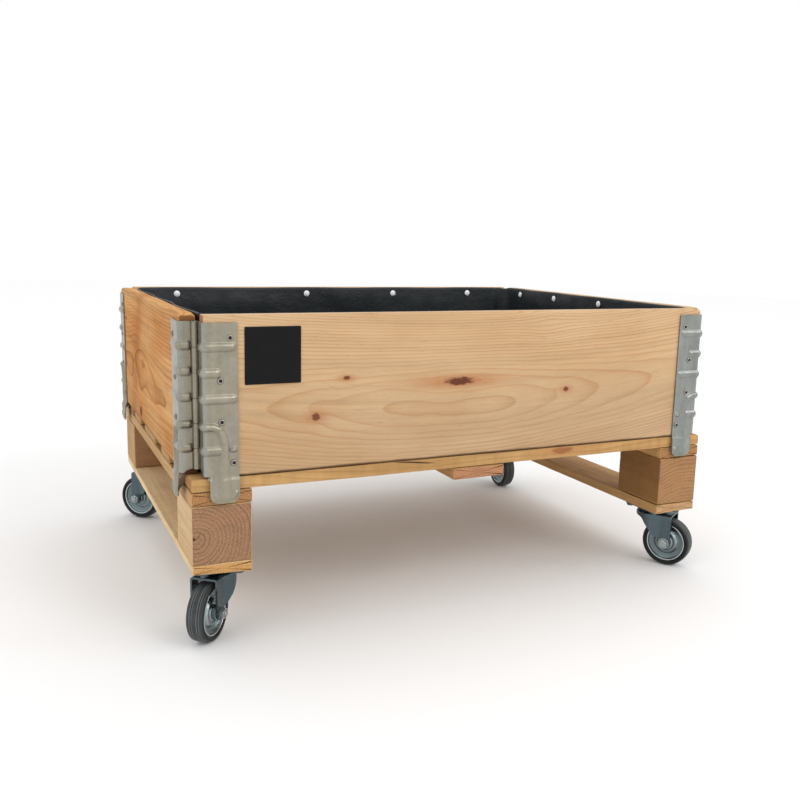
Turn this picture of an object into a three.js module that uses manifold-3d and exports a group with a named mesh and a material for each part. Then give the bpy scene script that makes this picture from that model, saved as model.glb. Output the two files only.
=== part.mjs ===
// A rolling planter: a small wooden pallet on four swivel casters, carrying a pallet collar
// (four planks joined by pinned corner hinges) with a plastic liner inside.
// Millimetres. X runs along the long side, Y towards the back, Z up from the floor.
import * as THREE from 'three';
import { mergeVertices } from 'three/addons/utils/BufferGeometryUtils.js';
import Module from 'manifold-3d';

const wasm = await Module();
wasm.setup();

// ---------------------------------------------------------------- driving dimensions

const seatGap = 0.3; // between two pieces that touch
const cutMargin = 1; // by which a cut passes the face that it opens

// pallet
const deckInsetLong = 5; // of the deck's ends inside the collar's outer faces
const deckInsetWide = 1;
const deckThickness = 17;
const deckBoardWidths = [91, 62, 96, 60, 87]; // front to back
const deckGapShares = [0.31, 0.29, 0.26, 0.14]; // of the width that the deck boards leave open
const stringerThickness = 16.7;
const sideStringerWidth = 75;
const centreStringerWidth = 80;
const blockHeight = 74.4;
const blockWidth = 74;
const blockDepth = 98;
const bottomBoardThickness = 15;
const bottomBoardWidth = 75;
const boardChamfer = 1.5;

// collar
const collarLength = 800; // over the outer faces of the planks
const collarWidth = 600;
const plankThickness = 20;
const plankHeight = 196.7;
const longPlankSetback = 22.7; // from the collar's corner to the end of a long plank
const shortPlankSetback = 29.3;
const plankTopRound = 4;
const plankFootChamfer = 3.2;

// corner hinges
const leafThickness = 1.8;
const leafReach = 42.5; // of a leaf's face plate along its plank
const leafFoot = 3; // lower end of the hinge above the deck
const hingeTopDrop = 9; // upper end of the hinge below the planks' top
const knuckleCount = 6;
const knuckleRadius = 4.5;
const knuckleGap = 0.5;
const hingePinRadius = 2.4;
const pinClearance = 0.35;
const footDrop = 31; // of the foot below the deck's top
const footJoggle = 2.4; // how far the foot steps outwards
const footJoggleRise = 6;
const footShoulder = 6.6; // the foot is narrower by this on its corner side
const footCornerRadius = 11;
const archRadius = 15; // of the opening under the knuckles
const archHeight = 6;
const rivetRadius = 2.6;
const rivetHeight = 0.9;
const lowerRivets = [[21, 116], [22, 66], [36, 15.4]]; // along the plate, and up from its lower end
const upperRivet = [33, 18]; // along the plate, and down from its upper end

// liner
const linerWall = 1.6;
const linerCornerRadius = 24;
const linerTopDrop = 2; // of the liner's edge below the planks' top

// label
const labelSize = 70;
const labelThickness = 0.8;
const labelFromEnd = 106.5; // from the collar's left side to the label's centre
const labelFromTop = 49.5; // from the planks' top to the label's centre

// casters
const wheelRadius = 38;
const wheelToCrown = 6.2; // from the wheel's top to the fork's crown
const tyreWidth = 24;
const tyreDepth = 7; // from the tread to the wheel's pressed centre
const grooveDepth = 1.4;
const beadInset = 1.5; // of the tyre's inner edge from its side
// The tread from its side to its middle rib: inwards from the wheel's radius, and from the tyre's side.
const treadProfile = [[5, 0], [1.8, 1.2], [0.5, 3.2], [0.3, 6.4], [grooveDepth, 7.5], [0, 8.6]];
const swivelInsetX = 40.1; // from the pallet's end to the swivel axis
const swivelInsetY = 48.4;
const trail = 27.7; // from the swivel axis to the axle
const plateLength = 90;
const plateWidth = 70;
const plateThickness = 2.5;
const screwInset = 8; // from the plate's edges
const screwHeadRadius = 5;
const screwHeadHeight = 1.8;
const raceRadius = 22;
const raceFlare = 2;
const forkSheet = 2.5;
const crownDrop = 9.3; // from the pallet to the fork's crown
const crownRadius = 25;
const crownSweep = 80; // degrees from the trailing side to where the round crown begins
const crownSkirt = 6; // of the crown's turned-down edge at its front
const tyreToFork = 4; // beside the wheel
const creaseMargin = 0.7; // from the bolt's head to where the walls begin to flare
const forkLeadingEdge = [[10, 9], [2.5, 20]]; // ahead of the swivel axis, down from the crown
const forkWaist = 16; // from the axle to the leading edge, level with the top of the round end
const forkEndRadius = 9.5;
const forkEndStart = 150; // degrees, where the round end leaves the leading edge
const kingpinRadius = 6;
const kingpinHeadRadius = 10;
const kingpinHeadHeight = 3;
const axleRadius = 4;
const axleClearance = 0.35;
const hubRadius = 9.5;
const hubGap = 0.5; // between the hub's end and the fork's wall
const rimLip = 2;
const rimSlope = 2;
const webHalfThickness = 5;
const bossRadius = 16;
const bossFoot = 2;
const bossHalfThickness = 8;
const boltHeadAcross = 13;
const boltHeadHeight = 5.5;
const boltTail = 1.5; // of the bolt beyond its nut
const nutHeight = 6;
const caster = {
  front_left: { side: [-1, -1], yaw: 231.3 },
  front_right: { side: [1, -1], yaw: -59 },
  back_left: { side: [-1, 1], yaw: 135.2 },
  back_right: { side: [1, 1], yaw: -93.1 },
};

// ---------------------------------------------------------------- the deck, and levels from the floor up

const palletLength = collarLength - 2 * deckInsetLong;
const palletWidth = collarWidth - 2 * deckInsetWide;
const crownUnderside = 2 * wheelRadius + wheelToCrown;
const crownTop = crownUnderside + forkSheet;
const palletBottom = crownTop + crownDrop;
const blockBottom = palletBottom + bottomBoardThickness + seatGap;
const stringerBottom = blockBottom + blockHeight + seatGap;
const deckBottom = stringerBottom + stringerThickness + seatGap;
const deckTop = deckBottom + deckThickness;
const collarBottom = deckTop + seatGap;
const collarTop = collarBottom + plankHeight;
const hingeBottom = deckTop + leafFoot;
const hingeTop = collarTop - hingeTopDrop;

// ---------------------------------------------------------------- materials

const materials = {
  deckWood: new THREE.MeshStandardMaterial({ color: 0xd2a56c, roughness: 0.75, metalness: 0 }),
  blockWood: new THREE.MeshStandardMaterial({ color: 0xb98a5e, roughness: 0.8, metalness: 0 }),
  plankWood: new THREE.MeshStandardMaterial({ color: 0xdcb483, roughness: 0.65, metalness: 0 }),
  zinc: new THREE.MeshStandardMaterial({ color: 0xa9b0ac, roughness: 0.38, metalness: 0.85 }),
  casterZinc: new THREE.MeshStandardMaterial({ color: 0x7d8a8e, roughness: 0.35, metalness: 0.85 }),
  liner: new THREE.MeshStandardMaterial({ color: 0x24282b, roughness: 0.5, metalness: 0 }),
  label: new THREE.MeshStandardMaterial({ color: 0x1b1b1d, roughness: 0.55, metalness: 0 }),
  tyre: new THREE.MeshStandardMaterial({ color: 0x1d1e20, roughness: 0.7, metalness: 0 }),
};

// ---------------------------------------------------------------- solids

// A closed solid from a geometry, with the winding turned round where a mirror has reversed it.
function solid(geometry, matrix = new THREE.Matrix4()) {
  const bare = geometry.index ? geometry.toNonIndexed() : geometry.clone();
  for (const name of Object.keys(bare.attributes)) {
    if (name !== 'position') bare.deleteAttribute(name);
  }
  bare.applyMatrix4(matrix);
  const welded = mergeVertices(bare, 1e-4);
  const triVerts = new Uint32Array(welded.index.array);
  if (matrix.determinant() < 0) {
    for (let i = 0; i < triVerts.length; i += 3) {
      [triVerts[i + 1], triVerts[i + 2]] = [triVerts[i + 2], triVerts[i + 1]];
    }
  }
  const vertProperties = new Float32Array(welded.attributes.position.array);
  return new wasm.Manifold(new wasm.Mesh({ numProp: 3, vertProperties, triVerts }));
}

function toGeometry(body) {
  const { vertProperties, triVerts } = body.getMesh();
  const geometry = new THREE.BufferGeometry();
  geometry.setAttribute('position', new THREE.BufferAttribute(vertProperties, 3));
  geometry.setIndex(new THREE.BufferAttribute(triVerts, 1));
  const faceted = geometry.toNonIndexed();
  faceted.computeVertexNormals();
  return faceted;
}

function block(low, high) {
  const size = high.map((value, axis) => value - low[axis]);
  const geometry = new THREE.BoxGeometry(...size);
  return geometry.translate(...low.map((value, axis) => value + size[axis] / 2));
}

// A flat outline raised along Z.
function prism(points, bottom, top) {
  const shape = new THREE.Shape(points.map(([x, y]) => new THREE.Vector2(x, y)));
  const geometry = new THREE.ExtrudeGeometry(shape, { depth: top - bottom, bevelEnabled: false });
  return geometry.translate(0, 0, bottom);
}

// A profile of [radius, height] points turned about Z.
function turned(profile, segments) {
  const points = profile.map(([radius, height]) => new THREE.Vector2(radius, height));
  return new THREE.LatheGeometry(points, segments).rotateX(Math.PI / 2);
}

function cylinder(radius, bottom, top, segments) {
  const geometry = new THREE.CylinderGeometry(radius, radius, top - bottom, segments);
  return geometry.rotateX(Math.PI / 2).translate(0, 0, (bottom + top) / 2);
}

function arc(centre, radius, from, to, steps) {
  return Array.from({ length: steps + 1 }, (_, i) => {
    const angle = THREE.MathUtils.degToRad(from + ((to - from) * i) / steps);
    return [centre[0] + radius * Math.cos(angle), centre[1] + radius * Math.sin(angle)];
  });
}

function addMesh(parent, name, geometry, material) {
  const mesh = new THREE.Mesh(geometry, material);
  mesh.name = name;
  parent.add(mesh);
  return mesh;
}

// Maps a solid made with its outline in the XY plane so that it is raised along X:
// the outline's x becomes Y and its y becomes Z.
const alongX = new THREE.Matrix4().makeBasis(
  new THREE.Vector3(0, 1, 0), new THREE.Vector3(0, 0, 1), new THREE.Vector3(1, 0, 0));

// The same for a solid raised along Y: the outline's x becomes -X and its y becomes Z.
const alongY = new THREE.Matrix4().makeBasis(
  new THREE.Vector3(-1, 0, 0), new THREE.Vector3(0, 0, 1), new THREE.Vector3(0, 1, 0));

// ---------------------------------------------------------------- pallet

// A sawn board with its four long edges chamfered. Its outline is across by up, centred across.
function boardOutline(width, thickness, chamfer) {
  const side = width / 2;
  return [
    [-side + chamfer, 0], [side - chamfer, 0], [side, chamfer], [side, thickness - chamfer],
    [side - chamfer, thickness], [-side + chamfer, thickness], [-side, thickness - chamfer],
    [-side, chamfer],
  ];
}

function addDeck(parent) {
  const names = ['front', 'front_inner', 'middle', 'back_inner', 'back'];
  const open = palletWidth - deckBoardWidths.reduce((sum, width) => sum + width, 0);
  let edge = -palletWidth / 2;
  deckBoardWidths.forEach((width, i) => {
    const outline = boardOutline(width, deckThickness, boardChamfer);
    const board = prism(outline, -palletLength / 2, palletLength / 2).applyMatrix4(alongX);
    board.translate(0, edge + width / 2, deckBottom);
    addMesh(parent, `deck_board_${names[i]}`, board, materials.deckWood);
    edge += width + open * (deckGapShares[i] ?? 0);
  });
}

// A piece that runs from the pallet's front to its back.
function addRunner(parent, name, x, width, bottom, thickness) {
  const outline = boardOutline(width, thickness, boardChamfer);
  const runner = prism(outline, -palletWidth / 2, palletWidth / 2).applyMatrix4(alongY);
  runner.translate(x, 0, bottom);
  addMesh(parent, name, runner, materials.deckWood);
}

function addBlock(parent, name, side) {
  const outline = [
    [side[0] * (palletLength / 2 - blockWidth), side[1] * (palletWidth / 2 - blockDepth)],
    [side[0] * palletLength / 2, side[1] * palletWidth / 2],
  ];
  const low = [0, 1].map((axis) => Math.min(outline[0][axis], outline[1][axis]));
  const high = [0, 1].map((axis) => Math.max(outline[0][axis], outline[1][axis]));
  const geometry = block([...low, blockBottom], [...high, blockBottom + blockHeight]);
  addMesh(parent, `block_${name}`, geometry, materials.blockWood);
}

function addPallet(parent) {
  addDeck(parent);
  const sideStringer = palletLength / 2 - sideStringerWidth / 2;
  const sideBoard = palletLength / 2 - bottomBoardWidth / 2;
  addRunner(parent, 'stringer_left', -sideStringer, sideStringerWidth, stringerBottom, stringerThickness);
  addRunner(parent, 'stringer_centre', 0, centreStringerWidth, stringerBottom, stringerThickness);
  addRunner(parent, 'stringer_right', sideStringer, sideStringerWidth, stringerBottom, stringerThickness);
  for (const [name, { side }] of Object.entries(caster)) addBlock(parent, name, side);
  addRunner(parent, 'bottom_board_left', -sideBoard, bottomBoardWidth, palletBottom, bottomBoardThickness);
  addRunner(parent, 'bottom_board_right', sideBoard, bottomBoardWidth, palletBottom, bottomBoardThickness);
}

// ---------------------------------------------------------------- collar

// A plank's section, across by up, with a rounded top and chamfered lower edges.
function plankOutline() {
  const side = plankThickness / 2;
  const roundCentre = [side - plankTopRound, plankHeight - plankTopRound];
  const corner = arc(roundCentre, plankTopRound, 0, 90, 3);
  const mirrored = corner.map(([across, up]) => [-across, up]).reverse();
  return [
    [-side + plankFootChamfer, 0], [side - plankFootChamfer, 0], [side, plankFootChamfer],
    ...corner, ...mirrored, [-side, plankFootChamfer],
  ];
}

function addPlanks(parent) {
  const halfLong = collarLength / 2 - longPlankSetback;
  const halfShort = collarWidth / 2 - shortPlankSetback;
  for (const [name, side] of [['front', -1], ['back', 1]]) {
    const plank = prism(plankOutline(), -halfLong, halfLong).applyMatrix4(alongX);
    plank.translate(0, side * (collarWidth - plankThickness) / 2, collarBottom);
    addMesh(parent, `plank_${name}`, plank, materials.plankWood);
  }
  for (const [name, side] of [['left', -1], ['right', 1]]) {
    const plank = prism(plankOutline(), -halfShort, halfShort).applyMatrix4(alongY);
    plank.translate(side * (collarLength - plankThickness) / 2, 0, collarBottom);
    addMesh(parent, `plank_${name}`, plank, materials.plankWood);
  }
}

// Each corner's hinge is drawn from the collar's outer corner inwards: "along" its plank and
// "in" through the plank's thickness. The pin stands where both leaves' end plates meet it.
const pinAlongLong = longPlankSetback - seatGap - knuckleRadius;
const pinAlongShort = shortPlankSetback - seatGap - knuckleRadius;

function knuckleSpan(index) {
  const pitch = (hingeTop - hingeBottom) / knuckleCount;
  return [hingeBottom + index * pitch + knuckleGap / 2, hingeBottom + (index + 1) * pitch - knuckleGap / 2];
}

// The leaf's foot: a round-cornered tongue that hangs in front of the pallet's edge.
function footOutline(left, right, bottom, top) {
  const radius = footCornerRadius;
  return [
    [right, top], [left, top],
    ...arc([left + radius, bottom + radius], radius, 180, 270, 3),
    ...arc([right - radius, bottom + radius], radius, 270, 360, 3),
  ];
}

// A slab whose top and bottom have the same outline but stand apart by a sideways step.
function steppedSlab(left, right, outBottom, outTop, thickness, bottom, top) {
  const outline = [
    [outBottom, bottom], [outBottom + thickness, bottom], [outTop + thickness, top], [outTop, top],
  ];
  return solid(prism(outline, left, right), alongX);
}

function leafSolid(setback, pinAlong, pinIn, firstKnuckle) {
  const endInner = setback - seatGap;
  const endOuter = endInner - leafThickness;
  const faceInner = -seatGap;
  const faceOuter = faceInner - leafThickness;
  const faceEnd = endOuter + leafReach;
  const endStop = pinIn - knuckleRadius - knuckleGap;
  const knuckleAway = Math.min(endStop, plankThickness);

  const facePlate = solid(block([endOuter, faceOuter, hingeBottom], [faceEnd, faceInner, hingeTop]));
  let leaf = facePlate.add(
    solid(block([endOuter, faceOuter, hingeBottom], [endInner, knuckleAway, hingeTop])));

  for (let i = firstKnuckle; i < knuckleCount; i += 2) {
    const [low, high] = knuckleSpan(i);
    const arm = solid(block([endOuter, faceOuter, low], [endInner, pinIn, high]));
    const barrel = new THREE.Matrix4().makeTranslation(pinAlong, pinIn, 0);
    leaf = leaf.add(arm).add(solid(cylinder(knuckleRadius, low, high, 10), barrel));
  }
  const bore = cylinder(
    hingePinRadius + pinClearance, hingeBottom - cutMargin, hingeTop + cutMargin, 10);
  leaf = leaf.subtract(solid(bore, new THREE.Matrix4().makeTranslation(pinAlong, pinIn, 0)));

  const footLeft = endOuter + footShoulder;
  const footOut = faceOuter - footJoggle;
  const joggleBottom = hingeBottom - footJoggleRise;
  const joggle = steppedSlab(footLeft, faceEnd, footOut, faceOuter, leafThickness, joggleBottom, hingeBottom);
  const tongue = footOutline(footLeft, faceEnd, deckTop - footDrop, joggleBottom);
  const tongueFacing = new THREE.Matrix4().makeBasis(
    new THREE.Vector3(1, 0, 0), new THREE.Vector3(0, 0, 1), new THREE.Vector3(0, -1, 0));
  leaf = leaf.add(joggle).add(solid(prism(tongue, -footOut - leafThickness, -footOut), tongueFacing));

  const arch = new THREE.SphereGeometry(archRadius, 12, 6).scale(1, 1, archHeight / archRadius);
  leaf = leaf.subtract(solid(arch.translate(pinAlong, pinIn, hingeBottom)));

  const rivets = lowerRivets.map(([along, up]) => [along, hingeBottom + up]);
  for (const [along, z] of [...rivets, [upperRivet[0], hingeTop - upperRivet[1]]]) {
    const rivet = cylinder(rivetRadius, -faceOuter - seatGap, -faceOuter + rivetHeight, 6);
    leaf = leaf.add(solid(rivet.applyMatrix4(tongueFacing).translate(endOuter + along, 0, z)));
  }
  return leaf;
}

function addHinges(parent) {
  const longLeaf = leafSolid(longPlankSetback, pinAlongLong, pinAlongShort, 0);
  const shortLeaf = leafSolid(shortPlankSetback, pinAlongShort, pinAlongLong, 1);
  for (const [name, { side }] of Object.entries(caster)) {
    const [end, face] = name.split('_').reverse();
    const inX = new THREE.Vector3(-side[0], 0, 0);
    const inY = new THREE.Vector3(0, -side[1], 0);
    const up = new THREE.Vector3(0, 0, 1);
    const corner = [side[0] * collarLength / 2, side[1] * collarWidth / 2, 0];
    const placeLong = new THREE.Matrix4().makeBasis(inX, inY, up).setPosition(...corner);
    const placeShort = new THREE.Matrix4().makeBasis(inY, inX, up).setPosition(...corner);
    const long = toGeometry(solid(toGeometry(longLeaf), placeLong));
    const short = toGeometry(solid(toGeometry(shortLeaf), placeShort));
    addMesh(parent, `hinge_leaf_${name}_on_${face}_plank`, long, materials.zinc);
    addMesh(parent, `hinge_leaf_${name}_on_${end}_plank`, short, materials.zinc);

    const pinBottom = hingeBottom + archHeight + knuckleGap;
    const pin = cylinder(hingePinRadius, pinBottom, hingeTop, 10);
    pin.translate(corner[0] - side[0] * pinAlongLong, corner[1] - side[1] * pinAlongShort, 0);
    addMesh(parent, `hinge_pin_${name}`, pin, materials.zinc);
  }
}

function addLabel(parent) {
  const centreX = -collarLength / 2 + labelFromEnd;
  const centreZ = collarTop - labelFromTop;
  const front = -collarWidth / 2 - seatGap;
  const low = [centreX - labelSize / 2, front - labelThickness, centreZ - labelSize / 2];
  const high = [centreX + labelSize / 2, front, centreZ + labelSize / 2];
  addMesh(parent, 'label_plate', block(low, high), materials.label);
}

// ---------------------------------------------------------------- liner

function roundedRectangle(halfX, halfY, radius) {
  const [x, y] = [halfX - radius, halfY - radius];
  return [
    ...arc([x, y], radius, 0, 90, 5), ...arc([-x, y], radius, 90, 180, 5),
    ...arc([-x, -y], radius, 180, 270, 5), ...arc([x, -y], radius, 270, 360, 5),
  ];
}

function addLiner(parent) {
  const halfX = collarLength / 2 - plankThickness - seatGap;
  const halfY = collarWidth / 2 - plankThickness - seatGap;
  const bottom = deckTop + seatGap;
  const top = collarTop - linerTopDrop;
  const outside = prism(roundedRectangle(halfX, halfY, linerCornerRadius), bottom, top);
  const inside = roundedRectangle(halfX - linerWall, halfY - linerWall, linerCornerRadius - linerWall);
  const tray = solid(outside).subtract(solid(prism(inside, bottom + linerWall, top + linerWall)));
  addMesh(parent, 'liner', toGeometry(tray), materials.liner);
}

// ---------------------------------------------------------------- casters

const plateTop = palletBottom - seatGap;
const plateBottom = plateTop - plateThickness;
const rimRadius = wheelRadius - tyreDepth;
const rimHalfWidth = tyreWidth / 2 - beadInset;
const forkHalfWidth = tyreWidth / 2 + tyreToFork + forkSheet;
const forkTrailingEdge = trail + forkEndRadius;
const boltHeadRadius = boltHeadAcross / Math.sqrt(3);
const forkCrease = trail - boltHeadRadius - creaseMargin;
const hubHalfLength = forkHalfWidth - forkSheet - hubGap;

function casterPlateGeometry() {
  const plate = block(
    [-plateWidth / 2, -plateLength / 2, plateBottom], [plateWidth / 2, plateLength / 2, plateTop]);
  const race = turned([
    [0, crownTop + seatGap], [raceRadius, crownTop + seatGap],
    [raceRadius + raceFlare, plateBottom + seatGap], [0, plateBottom + seatGap],
  ], 18);
  let body = solid(plate).add(solid(race));
  for (const x of [screwInset - plateWidth / 2, plateWidth / 2 - screwInset]) {
    for (const y of [screwInset - plateLength / 2, plateLength / 2 - screwInset]) {
      const head = cylinder(screwHeadRadius, plateBottom - screwHeadHeight, plateBottom + seatGap, 6);
      body = body.add(solid(head.translate(x, y, 0)));
    }
  }
  const bore = cylinder(kingpinRadius + seatGap, crownTop, palletBottom, 12);
  return toGeometry(body.subtract(solid(bore)));
}

// The rivet that the fork turns on, with its head under the crown.
function kingpinGeometry() {
  const headTop = crownUnderside - seatGap;
  return turned([
    [0, headTop - kingpinHeadHeight], [kingpinHeadRadius, headTop - kingpinHeadHeight],
    [kingpinHeadRadius, headTop], [kingpinRadius, headTop], [kingpinRadius, plateTop], [0, plateTop],
  ], 12);
}

// The fork's outline from above. Beside the wheel its walls run parallel, then flare out to the
// round crown.
function forkPlan(inset) {
  const half = forkHalfWidth - inset;
  return [
    [forkTrailingEdge, -half], [forkTrailingEdge, half], [forkCrease, half],
    ...arc([0, 0], crownRadius - inset, crownSweep, 360 - crownSweep, 10), [forkCrease, -half],
  ];
}

// The fork's outline from the side: upright along the trailing edge, round at the axle, and
// slanting up to the front of the crown.
function forkSide() {
  return [
    [forkTrailingEdge, crownTop],
    [-crownRadius, crownTop],
    [-crownRadius, crownTop - crownSkirt],
    ...forkLeadingEdge.map(([ahead, down]) => [-ahead, crownTop - down]),
    [trail - forkWaist, wheelRadius + forkEndRadius],
    ...arc([trail, wheelRadius], forkEndRadius, forkEndStart, 360, 9),
  ];
}

function forkGeometry() {
  const deep = forkHalfWidth + crownRadius;
  const outer = solid(prism(forkPlan(0), 0, crownTop));
  const inner = solid(prism(forkPlan(forkSheet), -cutMargin, crownUnderside));
  const half = forkHalfWidth - forkSheet;
  const trailingOpening = solid(block(
    [forkCrease, -half, -cutMargin], [forkTrailingEdge + cutMargin, half, crownUnderside]));
  const side = solid(prism(forkSide().map(([x, z]) => [-x, z]), -deep, deep), alongY);
  const kingpinHole = solid(cylinder(
    kingpinRadius + seatGap, crownUnderside - cutMargin, crownTop + cutMargin, 12));
  const axleHole = cylinder(axleRadius + axleClearance, -deep, deep, 12).rotateX(Math.PI / 2);
  axleHole.translate(trail, 0, wheelRadius);
  return toGeometry(
    outer.subtract(inner).subtract(trailingOpening).intersect(side)
      .subtract(kingpinHole).subtract(solid(axleHole)));
}

// The wheel's pressed centre: a stepped web between a hub and an outer ring that grips the tyre.
function rimGeometry() {
  const half = [
    [rimRadius, rimHalfWidth], [rimRadius - rimLip, rimHalfWidth],
    [rimRadius - rimLip - rimSlope, webHalfThickness], [bossRadius + bossFoot, webHalfThickness],
    [bossRadius, bossHalfThickness], [hubRadius, bossHalfThickness], [hubRadius, hubHalfLength],
    [axleRadius + axleClearance, hubHalfLength],
  ];
  const mirrored = half.map(([radius, height]) => [radius, -height]).reverse();
  return turned([...half, ...mirrored, half[0]], 20);
}

// The tyre's tread has three ribs between two grooves. Its flats are turned so that one lies on
// the floor, and its corner radius is larger by as much as puts that flat at the wheel's radius.
const tyreSegments = 28;

function tyreGeometry() {
  const grow = 1 / Math.cos(Math.PI / tyreSegments);
  const side = tyreWidth / 2;
  const tread = treadProfile.map(([inwards, fromSide]) => [(wheelRadius - inwards) * grow, side - fromSide]);
  const far = [[rimRadius + seatGap, rimHalfWidth], ...tread];
  const near = far.map(([radius, height]) => [radius, -height]);
  const geometry = turned([...near, ...far.reverse(), near[0]], tyreSegments);
  return geometry.rotateZ(Math.PI / 2 + Math.PI / tyreSegments);
}

function axleBoltGeometry() {
  const seat = forkHalfWidth + seatGap;
  const head = cylinder(boltHeadRadius, seat, seat + boltHeadHeight, 6);
  const shank = cylinder(axleRadius, -seat - nutHeight - boltTail, seat + cutMargin, 12);
  return toGeometry(solid(head).add(solid(shank)));
}

function axleNutGeometry() {
  const seat = -forkHalfWidth - seatGap;
  const nut = solid(cylinder(boltHeadRadius, seat - nutHeight, seat, 6));
  const bore = solid(cylinder(
    axleRadius + axleClearance, seat - nutHeight - cutMargin, seat + cutMargin, 12));
  return toGeometry(nut.subtract(bore));
}

function addCaster(parent, name, { side, yaw }) {
  const swivel = new THREE.Group();
  swivel.position.set(
    side[0] * (palletLength / 2 - swivelInsetX), side[1] * (palletWidth / 2 - swivelInsetY), 0);
  parent.add(swivel);
  addMesh(swivel, `caster_plate_${name}`, casterPlateGeometry(), materials.casterZinc);
  addMesh(swivel, `caster_kingpin_${name}`, kingpinGeometry(), materials.casterZinc);

  const fork = new THREE.Group();
  fork.rotation.z = THREE.MathUtils.degToRad(yaw);
  swivel.add(fork);
  addMesh(fork, `caster_fork_${name}`, forkGeometry(), materials.casterZinc);

  const wheel = new THREE.Group();
  wheel.position.set(trail, 0, wheelRadius);
  wheel.rotation.x = Math.PI / 2;
  fork.add(wheel);
  addMesh(wheel, `wheel_rim_${name}`, rimGeometry(), materials.casterZinc);
  addMesh(wheel, `wheel_tyre_${name}`, tyreGeometry(), materials.tyre);
  addMesh(wheel, `axle_bolt_${name}`, axleBoltGeometry(), materials.casterZinc);
  addMesh(wheel, `axle_nut_${name}`, axleNutGeometry(), materials.casterZinc);
}

// ---------------------------------------------------------------- planter

const planter = new THREE.Group();
addPallet(planter);
addPlanks(planter);
addHinges(planter);
addLiner(planter);
addLabel(planter);
for (const [name, place] of Object.entries(caster)) addCaster(planter, name, place);

// The casters are turned at random, so the origin is put at the middle of the whole outline.
const footprint = new THREE.Box3().setFromObject(planter, true);
const middle = footprint.getCenter(new THREE.Vector3());
planter.position.set(-middle.x, -middle.y, -footprint.min.z);
planter.updateMatrixWorld(true);

export default planter;
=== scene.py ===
# Looks for the rolling planter: boards, corner hinges, film liner, pins and casters.
import math
import bmesh
import bpy
import numpy as np
from mathutils import Matrix, Vector


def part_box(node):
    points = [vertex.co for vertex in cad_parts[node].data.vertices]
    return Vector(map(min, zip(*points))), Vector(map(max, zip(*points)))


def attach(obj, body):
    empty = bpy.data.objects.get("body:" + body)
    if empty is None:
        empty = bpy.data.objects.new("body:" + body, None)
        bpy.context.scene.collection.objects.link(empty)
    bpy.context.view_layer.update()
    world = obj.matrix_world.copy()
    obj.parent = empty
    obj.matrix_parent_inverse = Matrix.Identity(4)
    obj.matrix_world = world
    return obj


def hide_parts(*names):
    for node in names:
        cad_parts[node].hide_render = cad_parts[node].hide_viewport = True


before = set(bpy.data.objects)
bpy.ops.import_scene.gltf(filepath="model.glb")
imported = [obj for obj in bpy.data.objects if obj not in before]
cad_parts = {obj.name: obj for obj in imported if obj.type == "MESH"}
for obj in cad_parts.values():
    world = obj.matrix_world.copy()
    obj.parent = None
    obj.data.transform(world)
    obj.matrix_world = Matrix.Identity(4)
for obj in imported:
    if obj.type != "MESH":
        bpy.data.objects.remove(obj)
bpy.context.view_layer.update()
print("frame loaded")

corners = {"front_left": (-1, -1), "front_right": (1, -1), "back_left": (-1, 1), "back_right": (1, 1)}
mm = 0.001

view = {  # fitted to the edges that the photograph shows
    "position": (-0.58467, -1.31789, 0.50464),
    "direction": (0.42097, 0.88980, -0.17618),
    "up": (0.05304, 0.16974, 0.98406),
    "lens": 39.26,
    "shift": (-0.0177, -0.00245),
}
studio = {
    "sky": 1.0,
    "aim": (0, 0, 0.25),
    "key": {"at": (1.2, -2.8, 2.4), "size": 1.6, "power": 26},
    "fill": {"at": (-3.0, -1.4, 1.8), "size": 2.2, "power": 8},
    "top": {"at": (0.2, 0.6, 3.2), "size": 2.4, "power": 12},
    "side": {"at": (2.6, -1.7, 2.1), "size": 0.8, "power": 8},
}


def stand(name, data, at, backward, up=(0, 0, 1)):
    # puts a camera or a lamp at a place, with its own Z along backward
    backward = np.array(backward) / np.linalg.norm(backward)
    sideways = np.cross(up, backward)
    sideways = sideways / np.linalg.norm(sideways)
    axes = np.array([sideways, np.cross(backward, sideways), backward]).T
    made = bpy.data.objects.new(name, data)
    bpy.context.collection.objects.link(made)
    made.matrix_world = Matrix.Translation(at) @ Matrix(axes.tolist()).to_4x4()
    return made


camera = bpy.data.cameras.new("camera")
camera.lens, camera.sensor_width = view["lens"], 36
camera.shift_x, camera.shift_y = view["shift"]
backward = -np.array(view["direction"])
bpy.context.scene.camera = stand("camera", camera, view["position"], backward, view["up"])

world = bpy.data.worlds.new("sky")
world.use_nodes = True
world.node_tree.nodes["Background"].inputs["Color"].default_value = (1, 1, 1, 1)
world.node_tree.nodes["Background"].inputs["Strength"].default_value = studio["sky"]
bpy.context.scene.world = world
bpy.context.scene.view_settings.view_transform = "Standard"  # plain colours, as a product photograph has
for name in ("key", "fill", "top", "side"):
    lamp = bpy.data.lights.new(name, "AREA")
    lamp.shape, lamp.size, lamp.energy = "DISK", studio[name]["size"], studio[name]["power"]
    stand(name, lamp, studio[name]["at"], np.array(studio[name]["at"]) - studio["aim"])
print("camera and light")


class Value:
    # one output socket; sums and products of these add their Math nodes
    def __init__(self, paint, socket):
        self.paint, self.socket = paint, socket

    def math(self, operation, *others):
        return self.paint.math(operation, self, *others)

    def __add__(self, other):
        return self.paint.math("ADD", self, other)

    def __sub__(self, other):
        return self.paint.math("SUBTRACT", self, other)

    def __rsub__(self, other):
        return self.paint.math("SUBTRACT", other, self)

    def __mul__(self, other):
        return self.paint.math("MULTIPLY", self, other)

    def __truediv__(self, other):
        return self.paint.math("DIVIDE", self, other)

    def __pow__(self, other):
        return self.paint.math("POWER", self, other)

    def root(self):
        return self.math("SQRT")

    def size(self):
        return self.math("ABSOLUTE")

    def most(self, other):
        return self.math("MAXIMUM", other)

    def hill(self):
        # 1 where the value is 0, falling towards 0 as it grows
        return (self * -1).math("EXPONENT")

    __radd__ = __add__
    __rmul__ = __mul__


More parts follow.
